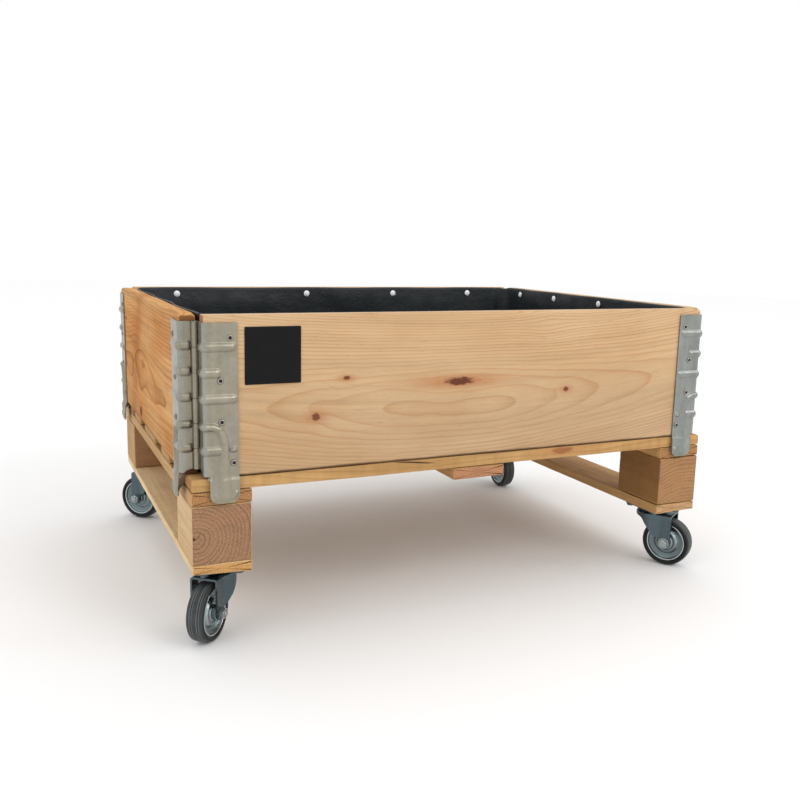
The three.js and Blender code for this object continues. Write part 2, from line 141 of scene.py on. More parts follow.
class Paint:
    # a material in the making, with its shader
    def __init__(self, name, settings):
        self.material = bpy.data.materials.new(name)
        self.material.use_nodes = True
        self.tree = self.material.node_tree
        self.shader = self.tree.nodes["Principled BSDF"]
        for socket, value in settings.items():
            self.shader.inputs[socket].default_value = value

    def node(self, kind, settings=None, sockets=None, out=0):
        made = self.tree.nodes.new("ShaderNode" + kind)
        for name, value in (settings or {}).items():
            setattr(made, name, value)
        for name, value in (sockets or {}).items():
            self.feed(made.inputs[name], value)
        return Value(self, made.outputs[out])

    def feed(self, socket, value):
        if isinstance(value, Value):
            self.tree.links.new(value.socket, socket)
        elif isinstance(value, tuple) and socket.type == "RGBA":
            socket.default_value = (*value, 1)
        else:
            socket.default_value = value

    def math(self, operation, *values):
        return self.node("Math", {"operation": operation}, dict(enumerate(values)))

    def parts(self, vector):
        return [self.node("SeparateXYZ", None, {0: vector}, out=i) for i in range(3)]

    def place(self):
        # the point's own place in metres, as three values and as a vector
        point = self.node("TexCoord", out="Object")
        return (*self.parts(point), point)

    def vector(self, x, y, z):
        return self.node("CombineXYZ", None, {0: x, 1: y, 2: z})

    def noise(self, at, scale=1.0, detail=3.0, rough=0.5, kind="FBM"):
        sockets = {"Vector": at, "Scale": scale, "Detail": detail, "Roughness": rough}
        return self.node("TexNoise", {"noise_type": kind}, sockets)

    def ease(self, value, low, high, start=0.0, end=1.0):
        # rises smoothly from start to end as the value goes from low to high
        sockets = {"Value": value, "From Min": low, "From Max": high, "To Min": start, "To Max": end}
        return self.node("MapRange", {"interpolation_type": "SMOOTHSTEP"}, sockets)

    def mix(self, share, first, second, blend="MIX"):
        sockets = {0: share, 6: first, 7: second}
        return self.node("Mix", {"data_type": "RGBA", "blend_type": blend}, sockets, out=2)

    def shaded(self, colour, tone):
        # the colour made lighter or darker by a value round 1
        return self.mix(1.0, colour, self.vector(tone, tone, tone), "MULTIPLY")

    def bump(self, height, distance, strength):
        return self.node("Bump", None, {"Height": height, "Distance": distance, "Strength": strength})

    def pieceTone(self):
        return self.node("Attribute", {"attribute_name": "tone"}, out="Fac")

    def finish(self, colour, roughness, normal):
        for name, value in {"Base Color": colour, "Roughness": roughness, "Normal": normal}.items():
            self.feed(self.shader.inputs[name], value)
        return self.material


def makePiece(name, points, faces, material, body, slot, stands=None, weld=1e-6, recalc=True, sharp=None,
              sheet=0, tone=None):
    # doubled points are merged and faces turned outwards; sheet is the thickness given to a surface
    mesh = bpy.data.meshes.new(name)
    mesh.from_pydata(np.reshape(points, (-1, 3)).tolist(), [], faces.tolist())
    if tone is not None:
        mesh.attributes.new("tone", "FLOAT", "POINT").data.foreach_set("value", np.ravel(tone))
    shape = bmesh.new()
    shape.from_mesh(mesh)
    bmesh.ops.remove_doubles(shape, verts=shape.verts, dist=weld)
    bmesh.ops.dissolve_degenerate(shape, edges=shape.edges, dist=weld)
    if recalc:
        bmesh.ops.recalc_face_normals(shape, faces=shape.faces)
    shape.to_mesh(mesh)
    shape.free()
    mesh.polygons.foreach_set("use_smooth", np.ones(len(mesh.polygons), bool))
    if sharp:
        mesh.set_sharp_from_angle(angle=math.radians(sharp))
    mesh.materials.append(material)
    piece = bpy.data.objects.new(name, mesh)
    bpy.context.collection.objects.link(piece)
    if sheet:
        wall = piece.modifiers.new("sheet", "SOLIDIFY")
        wall.thickness, wall.offset = sheet, 0.0
    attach(piece, body)
    if stands:
        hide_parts(stands)
    return piece


def gridFaces(rows, columns, wrap=False):
    # the quads of a grid of points stored row by row; wrap joins the last column to the first
    i, j = np.meshgrid(np.arange(rows - 1), np.arange(columns - (not wrap)), indexing="ij")
    k = (j + 1) % columns
    quads = np.stack([i * columns + j, i * columns + k, (i + 1) * columns + k, (i + 1) * columns + j], -1)
    return quads.reshape(-1, 4)


def smooth(values, low, high):
    # the cubic that rises from 0 at low to 1 at high
    t = np.clip((values - low) / (high - low), 0, 1)
    return t * t * (3 - 2 * t)


def waves(seed, *inputs, count=6):
    # a soft random field: sines of the inputs, each with its own pitch, direction and start
    dice = np.random.default_rng(seed)
    total = 0
    for _ in range(count):
        pitches = dice.normal(size=len(inputs))
        total = total + np.sin(sum(p * v for p, v in zip(pitches, inputs)) + dice.uniform(0, 6.28))
    return total / math.sqrt(count)


def woodPaint(name, look, low, high):
    # Growth rings are tubes round the pith line: the distance from it, bent by slow noise and
    # parted round each knot, is cut into rings with a dark outer part. The same rings show on
    # faces and ends, so that they meet at the edges.
    paint = Paint(name, {"Specular IOR Level": look["gloss"]})
    place = paint.place()
    along, seed = look["along"], look["seed"]
    across, upward = [axis for axis in range(3) if axis != along]
    centred = [place[axis] - (low[axis] + high[axis]) / 2 for axis in range(3)]
    u, faceUp = centred[along], centred[upward]
    # the pith line leans and bows, so that the rings run out of the faces at a slant
    bowAt, bow, lean = look["bow"]
    away = u - bowAt
    a = centred[across] - look["pith"][0]
    b = faceUp - look["pith"][1] - away * away * bow - u * lean

    def grain(alongPitch, crossPitch, detail, shift=0.0, rough=0.5):
        # noise with one pitch along the board and another across it
        x = u * alongPitch + shift if shift else u * alongPitch
        return paint.noise(paint.vector(x, a * crossPitch, b * crossPitch), 1, detail, rough)

    slow, wavy = grain(2.2, 5, 2, seed) - 0.5, grain(9, 16, 2, seed) - 0.5
    distance = (a * a + b * b).root() + u * look["taper"] + slow * look["sway"] + wavy * look["wander"]
    # the trunk thins on both sides of one place, which closes the rings into long ovals
    ovalAt, ovalReach, ovalRise = look["ovals"]
    nearPith = (b * b * 400).hill() * 0.5 + 0.5
    thinning = ((u - ovalAt).size() / ovalReach) ** 2.5 * ovalRise
    distance = distance + thinning / (thinning / look["thinnest"] + 1) * nearPith
    knotTone, haloTone = 0.0, 0.0
    for at, level, wide, tall, strength, push in look["knots"]:
        du, dv = (u - at) / wide, (faceUp - level) / tall
        distance = distance - (du * du * 0.10 + dv * dv * 0.12).hill() * dv * push
        ragged = paint.noise(paint.vector(u * 110 + seed, faceUp * 260, 0.0), 1, 3)
        reach = (du * du + dv * dv).root() + (ragged - 0.5) * 1.1
        knotTone = paint.ease(reach, 0.55, 1.05, strength, 0).most(knotTone)
        halo = (du * du * 0.16 + dv * dv * 0.55).hill() * (ragged * 0.9 + 0.5) * strength
        haloTone = halo.most(haloTone)
    phase = distance / look["ring"] + look["start"]
    phase = phase + (paint.noise(paint.vector(phase * 0.22, seed, 0.0), 1, 2) - 0.5) * look["vary"]
    turn = phase.math("FRACT")
    number = phase.math("FLOOR")
    ringTone = paint.node("TexWhiteNoise", {"noise_dimensions": "1D"}, {"W": number}, out="Value")
    late = turn ** look["sharp"] * paint.ease(turn, 0.93, 1, 1, 0) * (ringTone * 0.4 + 0.6)
    late = late * paint.ease(grain(3, 12, 2), 0.25, 0.7, 0.6, 1)
    if look["quiet"]:
        # fainter rings, by their number
        first, last, share = look["quiet"]
        fading = paint.ease(phase, first, first + 0.5) * paint.ease(phase, last, last + 5, share, 0)
        late = late * (1 - fading)
    fibre, streak = grain(14, 900, 3, rough=0.6) - 0.5, grain(2.4, 110, 3, rough=0.55) - 0.5
    blotch = paint.noise(paint.vector(u * 5 + seed * 2, a * 11, b * 11), 1, 4, 0.6)
    chatter = paint.noise(paint.vector(u * 110, a * 8, b * 8 + seed), 1, 2)
    colour = paint.mix(paint.ease(blotch, 0.3, 0.72), look["pale"], look["warm"])
    if look["band"]:
        # a broad darker zone across the grain, where a branch grew inside the board
        bandAt, slant, bandWide, bandStrength = look["band"]
        inBand = (u - faceUp * slant - bandAt + wavy * 0.04) / bandWide
        colour = paint.mix((inBand * inBand).hill() * bandStrength, colour, look["halo colour"])
    colour = paint.mix(late * look["contrast"], colour, look["dark"])
    lowShade = paint.ease(place[upward] - low[upward], 0.0, 0.19, look["low shade"], 1)
    shade = streak * look["streaks"] + fibre * look["fibres"] + (chatter - 0.5) * look["chatter"] + lowShade
    colour = paint.mix(1.0, colour, paint.vector(shade, shade, shade * 0.98), "MULTIPLY")
    fleck = paint.ease(grain(70, 640, 1, seed), 0.66, 0.78, 0, look["flecks"])
    colour = paint.mix(fleck, colour, look["fleck"])
    if look["knots"]:
        colour = paint.mix(haloTone * look["halo"], colour, look["halo colour"])
        colour = paint.mix(knotTone, colour, look["knot colour"])
    # the ends: rings and sawn fibres, with splits that run out from the pith
    facing = paint.parts(paint.node("NewGeometry", out="Normal"))[along].size()
    endGrain = paint.ease(facing, 0.6, 0.9)
    endSpeck = grain(60, 520, 3, rough=0.7)
    stain = paint.noise(paint.vector(a * 26 + seed, b * 60, u * 20), 1, 4, 0.6)
    endColour = paint.mix(late * look["end contrast"], look["end pale"], look["end dark"])
    endColour = paint.mix(paint.ease(stain, 0.5, 0.75, 0, 0.6), endColour, look["stain colour"])
    endColour = paint.shaded(endColour, (endSpeck - 0.5) * look["speck"] + (stain - 0.5) * 0.7 + 1)
    for angle, length, wide in look["splits"]:
        c, d = math.cos(math.radians(angle)), math.sin(math.radians(angle))
        forward = a * c + b * d
        beside = (b * c - a * d + (endSpeck - 0.5) * 0.0016 + wavy * 0.006).size()
        opening = (1 - forward / length).most(0) * wide * paint.ease(forward, 0, 0.002) + 0.00002
        shown = paint.ease(beside / opening, 0.5, 1.3, 0.92, 0)
        endColour = paint.mix(shown, endColour, look["split colour"])
    colour = paint.mix(endGrain, colour, endColour)
    # wear and grime on the long edges, by the distance from them
    gap = [((high[axis] - low[axis]) / 2 - centred[axis].size()).most(0) for axis in (across, upward)]
    edge = (gap[0] * gap[0] + gap[1] * gap[1]).root()
    rubbed = grain(30, 60, 4, seed, 0.6) - 0.5
    wear = paint.ease(edge + rubbed * 0.006, 0.0, look["edge"], 1, 0)
    colour = paint.mix(wear * look["wear"], colour, look["edge colour"])
    grime = paint.ease(grain(8, 30, 5, seed * 3, 0.65), 0.56, 0.8, 0, look["grime"])
    colour = paint.mix(grime, colour, look["grime colour"])
    # painted shade: a dark line along the bottom edge, where the board stands on the deck, and the ends
    # darkened low down, below the hinges; foot sets how strong it is
    above = place[upward] - low[upward] + rubbed * 0.003
    endLowShade = paint.ease(above, 0.012, 0.016, look["foot"], 0) * endGrain
    bottomEdgeShade = paint.ease(above, 0.0012, 0.0042, look["foot"], 0).most(endLowShade)
    colour = paint.mix(bottomEdgeShade, colour, look["foot shade colour"])
    for start, end, level, drop, thick in look["cracks"]:
        # a dark split that runs with the grain, thin at both its ends
        length = (u - (start + end) / 2) / ((end - start) / 2)
        opening = (1 - length * length).most(0)
        split = (faceUp - level + wavy * 0.01 + length * drop).size() / (opening * thick + 0.00001)
        shown = paint.ease(split, 0.5, 1.2, 0.9, 0) * opening.math("GREATER_THAN", 0.01)
        colour = paint.mix(shown, colour, look["crack colour"])
    height = late * 0.5 + fibre * 0.5 + streak * 0.35 + endSpeck * endGrain * 0.8 + chatter * look["chatter"]
    roughness = (blotch - 0.5) * 0.14 + late * -0.08 + look["rough"] + endGrain * 0.15
    return paint.finish(colour, roughness, paint.bump(height, look["relief"], 0.55))


def sectionPath(halfA, halfB, lowRound, topRound, spacing=0.006):
    # Round a section: four quarter circles joined by straight runs. Gives points and their normals.
    points, normals = [], []
    spots = [(1, -1, lowRound, -90), (1, 1, topRound, 0), (-1, 1, topRound, 90), (-1, -1, lowRound, 180)]
    arcs = []
    for sa, sb, radius, start in spots:
        angle = np.radians(start + np.linspace(0, 90, 6))
        normal = np.stack([np.cos(angle), np.sin(angle)], -1)
        arcs.append((np.array([sa * (halfA - radius), sb * (halfB - radius)]) + radius * normal, normal))
    for (arc, normal), (follow, _) in zip(arcs, arcs[1:] + arcs[:1]):
        run = np.linalg.norm(follow[0] - arc[-1])
        steps = max(int(run / spacing), 2)
        inner = np.arange(1, steps) / steps
        near = min(0.0012 / run, 0.2)  # keeps the shading flat up to the arc
        share = np.concatenate([[near], inner[(inner > near * 1.5) & (inner < 1 - near * 1.5)], [1 - near]])
        points += [arc, arc[-1] + share[:, None] * (follow[0] - arc[-1])]
        normals += [normal, np.repeat(normal[-1:], len(share), 0)]
    return np.concatenate(points), np.concatenate(normals)


def makeBoard(node, look, body):
    # A rounded section carried along the board. Near each end it draws in on a quarter circle, and
    # then the rings shrink flat to the middle. Waves of a fraction of a millimetre roughen it.
    low, high = [np.array(corner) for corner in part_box(node)]
    half = (high - low) / 2
    along = look["along"]
    across, upward = [axis for axis in range(3) if axis != along]
    lowRound, topRound = (radius * mm for radius in look["rounds"])
    section, outward = sectionPath(half[across], half[upward], lowRound, topRound)
    endRound = look["endRound"] * mm
    turn = np.radians(np.linspace(0, 90, 5))
    span = half[along] - endRound
    runs = np.linspace(-span, span, max(int(2 * span / 0.012), 8))[1:-1]
    stations = np.concatenate([-span - endRound * np.cos(turn), [-span + 0.001], runs, [span - 0.001],
                               span + endRound * np.sin(turn)])
    inset = np.concatenate([endRound * (1 - np.sin(turn)), 0 * runs, [0, 0], endRound * (1 - np.cos(turn))])
    shrink = np.array([0.985, 0.9, 0.7, 0.4, 0.0])
    scale = np.concatenate([shrink[::-1], np.ones(len(stations)), shrink])
    stations, inset = (np.pad(values, len(shrink), "edge") for values in (stations, inset))
    u = np.repeat(stations[:, None], len(section), 1)
    flat = section[None] - outward[None] * inset[:, None, None]
    ripple = waves(look["seed"], u * 14, section[None, :, 0] * 60, section[None, :, 1] * 60)
    fine = waves(look["seed"] + 5, u * 70, section[None, :, 0] * 190, section[None, :, 1] * 190)
    sunk = look["uneven"] * mm * (0.5 + 0.32 * ripple + 0.18 * fine)
    flat = (flat - outward[None] * sunk[..., None]) * scale[:, None, None]
    a, b = flat[..., 0], flat[..., 1]
    for side, drop in look["hollow"]:
        # the underside rises towards one side
        rise = smooth(side * a, -half[across], half[across]) * smooth(-b, -half[upward], half[upward])
        b = b + drop * mm * rise
    for face, rubbed in ((1, look["topCorner"]), (-1, look["lowCorner"])):
        # the ends' upper or lower corners are rubbed round
        for side, reach in rubbed:
            near = np.clip(1 - (half[along] - side * u) / (reach * mm), 0, 1)
            drop = reach * mm * (1 - np.sqrt(1 - near ** 2 * 0.96))
            b = b - face * drop * smooth(face * b, 0, half[upward])
    points = np.zeros((*u.shape, 3))
    points[..., along], points[..., across], points[..., upward] = u, a, b
    material = woodPaint("wood_" + node, look, low, high)
    makePiece(node + "_wood", points + (low + high) / 2, gridFaces(*u.shape, wrap=True), material, body,
              look["slot"], node)


plank = {
    # shape: radii of the lower and upper edges and of the ends, unevenness, rubbed corners, all in mm
    "along": 0, "slot": "collar_plank", "rounds": (2.6, 3.6), "endRound": 1.6, "uneven": 0.3,
    "topCorner": (), "lowCorner": (), "hollow": (),
    # rings: where the pith runs, how it bows, the ovals' place, reach and rise, and how rings wander
    "pith": (0.075, -0.03), "bow": (0.0, 0.2, 0.0), "ovals": (0.0, 0.2, 0.004), "thinnest": 0.016,
    "taper": 0.004, "sway": 0.006, "wander": 0.004, "ring": 0.0042, "start": 0.0, "vary": 1.0, "sharp": 3.0,
    "contrast": 0.95, "quiet": (), "band": (),
    # knots: place, level, width, height, strength, push; splits: angle, length, width
    "knots": (), "splits": (), "cracks": (), "streaks": 0.3, "fibres": 0.26, "flecks": 0.25, "chatter": 0.0,
    # foot: strength of the painted shade along the bottom edge and low on the ends
    "halo": 0.8, "speck": 0.6, "end contrast": 0.8, "wear": 0.5, "grime": 0.2, "edge": 0.004, "foot": 0.88,
    "low shade": 0.94, "rough": 0.52, "gloss": 0.3, "relief": 0.0006,
    "pale": (0.615, 0.425, 0.248), "warm": (0.555, 0.365, 0.198), "dark": (0.30, 0.13, 0.04),
    "end pale": (0.33, 0.175, 0.08), "end dark": (0.14, 0.06, 0.025), "edge colour": (0.44, 0.26, 0.12),
    "fleck": (0.26, 0.11, 0.04), "halo colour": (0.33, 0.115, 0.035), "knot colour": (0.10, 0.03, 0.012),
    "grime colour": (0.36, 0.22, 0.11), "stain colour": (0.25, 0.12, 0.05),
    "foot shade colour": (0.07, 0.03, 0.012),
    "split colour": (0.05, 0.022, 0.01), "crack colour": (0.03, 0.013, 0.005),
}
rough = {
    **plank, "slot": "pallet_board", "rounds": (1.6, 1.6), "endRound": 2.0, "uneven": 0.7, "rough": 0.68,
    "pale": (0.55, 0.34, 0.145), "warm": (0.46, 0.26, 0.10), "dark": (0.27, 0.115, 0.035), "ring": 0.0036,
    "end pale": (0.40, 0.20, 0.08), "end dark": (0.15, 0.06, 0.02), "edge colour": (0.48, 0.27, 0.105),
    "grime": 0.4, "relief": 0.0009, "pith": (0.04, -0.06), "gloss": 0.25, "fibres": 0.4, "streaks": 0.5,
    "chatter": 0.2, "speck": 1.0, "vary": 1.6, "sway": 0.012, "foot": 0.0, "contrast": 0.75,
    "low shade": 1.0,
}
block = {
    **rough, "along": 1, "slot": "pallet_block", "rounds": (2.2, 2.2), "endRound": 1.8, "uneven": 0.5,
    "ring": 0.0042, "end pale": (0.335, 0.18, 0.085), "end dark": (0.12, 0.05, 0.022),
    "bow": (0.0, 0.0, 0.0),
    "ovals": (0.0, 0.2, 0.0),
}
# painted light: a paler end-grain colour for the inner deck boards, to show light in the shaded gaps under
# the left plank
litEndPale = (0.52, 0.31, 0.13)
boards = {
    "plank_front": {
        **plank, "seed": 11, "topCorner": ((1, 6),), "pith": (0.094, -0.027), "bow": (-0.05, 0.2, 0.0),
        "ovals": (-0.05, 0.103, 0.0012), "ring": 0.0026, "start": 0.47, "vary": 0.3, "wander": 0.0026,
        "taper": 0.0, "sway": 0.003, "sharp": 4.2, "quiet": (41.15, 44.0, 0.35), "low shade": 0.84,
        "knots": ((-0.1978, 0.0166, 0.005, 0.0036, 0.9, 0.0006),
                  (-0.2387, -0.0311, 0.0062, 0.0062, 0.85, 0.0009),
                  (-0.0357, 0.0054, 0.025, 0.0066, 1.0, 0.0016),
                  (0.1367, -0.014, 0.0048, 0.0044, 0.9, 0.0006), (0.103, 0.081, 0.012, 0.007, 0.0, 0.0026)),
        "knot colour": (0.115, 0.028, 0.010), "halo colour": (0.40, 0.13, 0.035), "gloss": 0.22,
        "pale": (0.59, 0.398, 0.228), "warm": (0.53, 0.338, 0.18), "dark": (0.36, 0.125, 0.022),
    },
    "plank_back": {
        **plank, "seed": 23, "pith": (-0.085, 0.03), "bow": (-0.1, 0.2, 0.0),
        "knots": ((0.16, -0.03, 0.009, 0.007, 0.9, 0.003), (-0.22, 0.04, 0.005, 0.004, 0.8, 0.002)),
    },
    "plank_left": {
        **plank, "along": 1, "seed": 37, "topCorner": ((-1, 7), (1, 6)), "pith": (0.06, -0.028),
        "bow": (0.08, 0.1, 0.03), "ovals": (0.085, 0.075, 0.0022), "thinnest": 0.012, "ring": 0.0043,
        "sway": 0.008, "wander": 0.0045, "sharp": 3.8, "contrast": 1.0, "streaks": 0.75,
        "band": (0.105, -0.49, 0.045, 0.6), "gloss": 0.04, "rough": 0.8,
        "knots": ((0.0695, -0.0825, 0.012, 0.009, 0.95, 0.002), (0.11, 0.012, 0.018, 0.020, 0.0, 0.006),
                  (0.02, -0.012, 0.02, 0.012, 0.0, 0.004), (0.215, 0.05, 0.005, 0.004, 0.7, 0.001)),
        "pale": (0.61, 0.355, 0.155), "warm": (0.54, 0.24, 0.075), "dark": (0.23, 0.068, 0.016),
        "end pale": (0.24, 0.11, 0.04), "end dark": (0.10, 0.04, 0.015), "fleck": (0.20, 0.07, 0.02),
        "halo colour": (0.40, 0.145, 0.045),
    },
    "plank_right": {
        **plank, "along": 1, "seed": 41, "topCorner": ((-1, 6),), "pith": (-0.07, -0.04),
        "ovals": (-0.05, 0.12, 0.003), "knots": ((-0.1, 0.03, 0.01, 0.008, 0.9, 0.002),),
        "edge colour": (0.27, 0.18, 0.12), "wear": 0.85, "edge": 0.006,
    },
    "deck_board_front": {
        **rough, "seed": 53, "topCorner": ((-1, 5), (1, 6)), "lowCorner": ((-1, 4),), "chatter": 0.42,
        "knots": ((0.138, 0.003, 0.022, 0.006, 0.7, 0.001),),
        "cracks": ((-0.13, -0.066, 0.004, 0.003, 0.0013),),
        "pale": (0.52, 0.315, 0.125), "warm": (0.43, 0.24, 0.088), "knot colour": (0.25, 0.075, 0.025),
        "halo colour": (0.42, 0.17, 0.06),
    },
}
for place, seed, pith in (("front_inner", 59, (0.02, 0.05)), ("middle", 61, (-0.03, -0.05)),
                          ("back_inner", 67, (0.05, -0.02))):
    boards["deck_board_" + place] = {
        **rough, "seed": seed, "pith": pith, "end pale": litEndPale, "topCorner": ((-1, 5),),
        "lowCorner": ((-1, 3),),
    }
boards |= {
    "deck_board_back": {**rough, "seed": 71, "knots": ((-0.18, 0.001, 0.014, 0.006, 0.7, 0.001),)},
    "stringer_left": {
        **rough, "along": 1, "seed": 73, "pith": (0.02, -0.03), "stain colour": (0.30, 0.10, 0.04)},
    "stringer_centre": {
        **rough, "along": 1, "seed": 79, "pith": (0.01, -0.045), "end pale": (0.46, 0.22, 0.11)},
    "stringer_right": {**rough, "along": 1, "seed": 83, "pith": (-0.01, 0.04)},
    "bottom_board_left": {
        # painted light: paler, quieter wood so that the top shows light in the deck's shade
        **rough, "along": 1, "seed": 89, "pith": (0.03, -0.03), "hollow": ((-1, 3.0),), "speck": 1.6,
        "pale": (0.78, 0.60, 0.37), "warm": (0.66, 0.47, 0.26), "end pale": (0.56, 0.30, 0.11),
        "end contrast": 0.4, "contrast": 0.22,
    },
    "bottom_board_right": {
        **rough, "along": 1, "seed": 97, "pith": (-0.02, -0.04), "hollow": ((1, 1.5),), "speck": 1.6,
        "end pale": (0.52, 0.31, 0.15), "end contrast": 0.4,
    },
    "block_front_left": {
        **block, "seed": 101, "pith": (-0.032, -0.0035), "pale": (0.66, 0.47, 0.26),
        "warm": (0.58, 0.38, 0.19),
        "splits": ((172, 0.016, 0.0018), (-150, 0.012, 0.0010), (62, 0.012, 0.0006)), "ring": 0.0047,
        "stain colour": (0.26, 0.11, 0.055), "end pale": (0.33, 0.185, 0.10),
        "end dark": (0.10, 0.038, 0.016),
        "contrast": 0.5, "end contrast": 0.95, "sway": 0.02, "wander": 0.012, "vary": 2.4, "speck": 1.8,
    },
    "block_front_right": {
        # painted shade: much darker wood for the shade under the deck
        **block, "seed": 108, "pith": (0.02, -0.13), "pale": (0.245, 0.122, 0.037),
        "warm": (0.19, 0.085, 0.024),
        "end pale": (0.37, 0.20, 0.088), "end dark": (0.15, 0.05, 0.018), "end contrast": 1.0,
        "contrast": 0.5,
        "ring": 0.0058, "wander": 0.009, "speck": 1.5,
    },
    "block_back_left": {**block, "seed": 115, "pith": (0.02, 0.05), "splits": ((-70, 0.07, 0.0007),)},
    "block_back_right": {**block, "seed": 122, "pith": (-0.05, -0.02), "splits": ((20, 0.06, 0.0007),)},
}
for node, look in boards.items():
    makeBoard(node, look, "collar" if node.startswith("plank") else "base")
print("boards:", len(boards))


def joined(*surfaces):
    # several surfaces as one set of points and faces
    points, faces, first = [], [], 0
    for spots, quads in surfaces:
        points.append(np.reshape(spots, (-1, 3)))
        faces.append(quads + first)
        first += len(points[-1])
    return np.concatenate(points), np.concatenate(faces)


def rounded(corners, radii, steps=5):
    # A polyline whose inner corners are arcs: each touches both its runs at radius / tan(half angle).
    out = [np.array(corners[0], float)[None]]
    for before, corner, after, radius in zip(corners, corners[1:], corners[2:], radii):
        before, corner, after = (np.array(p, float) for p in (before, corner, after))
        back, on = before - corner, after - corner
        lengths = np.linalg.norm(back), np.linalg.norm(on)
        back, on = back / lengths[0], on / lengths[1]
        half = math.acos(np.clip(back @ on, -1, 1)) / 2
        radius = min(radius, 0.49 * min(lengths) * math.tan(half))
        if radius < 1e-9:
            out.append(corner[None])
            continue
        centre = corner + (back + on) / np.linalg.norm(back + on) * radius / math.sin(half)
        touch = radius / math.tan(half)
        first, last = corner + back * touch - centre, corner + on * touch - centre
        sweep = math.pi - 2 * half
        share = np.linspace(0, 1, steps)[:, None] * sweep
        out.append(centre + (first * np.sin(sweep - share) + last * np.sin(share)) / math.sin(sweep))
    out.append(np.array(corners[-1], float)[None])
    return np.concatenate(out)


def finer(profile, step):
    # the same profile with points at most a step apart
    length = np.append(0, np.cumsum(np.hypot(*np.diff(profile, axis=0).T)))
    at = np.unique(np.round(np.append(length, np.arange(0, length[-1], step)), 4))
    return np.column_stack([np.interp(at, length, profile[:, i]) for i in (0, 1)])


def turned(profile, segments, scale=1.0):
    # a profile of radius and height carried round the Z axis
    angle = np.linspace(0, 2 * math.pi, segments, endpoint=False)
    radius, height = np.asarray(profile)[:, :1] * scale, np.asarray(profile)[:, 1:] * scale
    points = np.stack([radius * np.cos(angle), radius * np.sin(angle), height + 0 * angle], -1)
    return points, gridFaces(len(profile), segments, wrap=True)


def washer(radius, low, high, segments):
    return turned(rounded([(0, low), (radius, low), (radius, high), (0, high)], [0.2, 0.3]), segments)


def hexagon(across, height, chamfer, bore=0.0, dome=0.0, segments=48):
    # The radius of a hexagon at each angle is half its width over cos(angle from the flat's middle).
    # A cone trims its upper corners; the top then closes to the middle or to a bore.
    angle = np.linspace(0, 2 * math.pi, segments, endpoint=False)
    flat = np.mod(angle + math.pi / 6, math.pi / 3) - math.pi / 6
    outline = across / 2 / np.cos(flat)
    trim = across / 2 * 0.97
    slope = chamfer / (across / 2 / math.cos(math.pi / 6) - trim)
    side = height - np.clip((outline - trim) * slope, 0, None)
    rows = [(bore, 0), (outline, 0), (outline, side), (trim, height),
            (max(across * 0.3, bore + 0.0005), height + dome * 0.6), (bore, height + dome)]
    if bore:
        rows.append(rows[0])
    points = np.stack([np.stack([r * np.cos(angle), r * np.sin(angle), z + 0 * angle], -1) for r, z in rows])
    return points, gridFaces(len(rows), segments, wrap=True)


def plate(halfA, halfB, cornerRound, profile, spacing=0.006):
    # A rounded outline drawn in and raised by a profile of inset and level, then shrunk flat to its
    # middle at both ends.
    outline, outward = sectionPath(halfA, halfB, cornerRound, cornerRound, spacing)
    flat = 0 * outline[:, 0]
    rings = [np.column_stack([outline - outward * inset, flat + level]) for inset, level in profile]
    middle = np.append(outline.mean(0), 0)
    closing = np.array([0.9, 0.6, 0.3, 0.0])
    start = [middle + (rings[0] - middle) * [s, s, 1] for s in closing[::-1]]
    end = [middle + (rings[-1] - middle) * [s, s, 1] for s in closing]
    points = np.stack(start + rings + end)
    return points, gridFaces(len(points), len(outline), wrap=True)


def placed(surface, turn, move=(0, 0, 0), scale=1.0):
    # the surface turned by a matrix whose columns are its new axes, then moved
    points, quads = surface
    return np.reshape(points, (-1, 3)) * scale @ np.asarray(turn, float).T + np.asarray(move, float), quads


def solidified(points, faces, outward, thickness):
    # gives a sheet its thickness behind the side that faces outward
    shape = bmesh.new()
    mesh = bpy.data.meshes.new("sheet")
    mesh.from_pydata(points.reshape(-1, 3).tolist(), [], faces.tolist())
    shape.from_mesh(mesh)
    bmesh.ops.remove_doubles(shape, verts=shape.verts, dist=2e-6)
    bmesh.ops.dissolve_degenerate(shape, edges=shape.edges, dist=2e-6)
    bmesh.ops.recalc_face_normals(shape, faces=shape.faces)
    shape.faces.ensure_lookup_table()
    largest = max(shape.faces, key=lambda face: face.calc_area())
    if largest.normal.dot(outward(largest.calc_center_median())) < 0:
        bmesh.ops.reverse_faces(shape, faces=shape.faces)
    bmesh.ops.solidify(shape, geom=shape.faces, thickness=thickness)
    bmesh.ops.triangulate(shape, faces=shape.faces)
    shape.to_mesh(mesh)
    shape.free()
    spots, triangles = np.zeros(len(mesh.vertices) * 3), np.zeros(len(mesh.polygons) * 3, int)
    mesh.vertices.foreach_get("co", spots)
    mesh.polygons.foreach_get("vertices", triangles)
    bpy.data.meshes.remove(mesh)
    return spots.reshape(-1, 3), triangles.reshape(-1, 3)


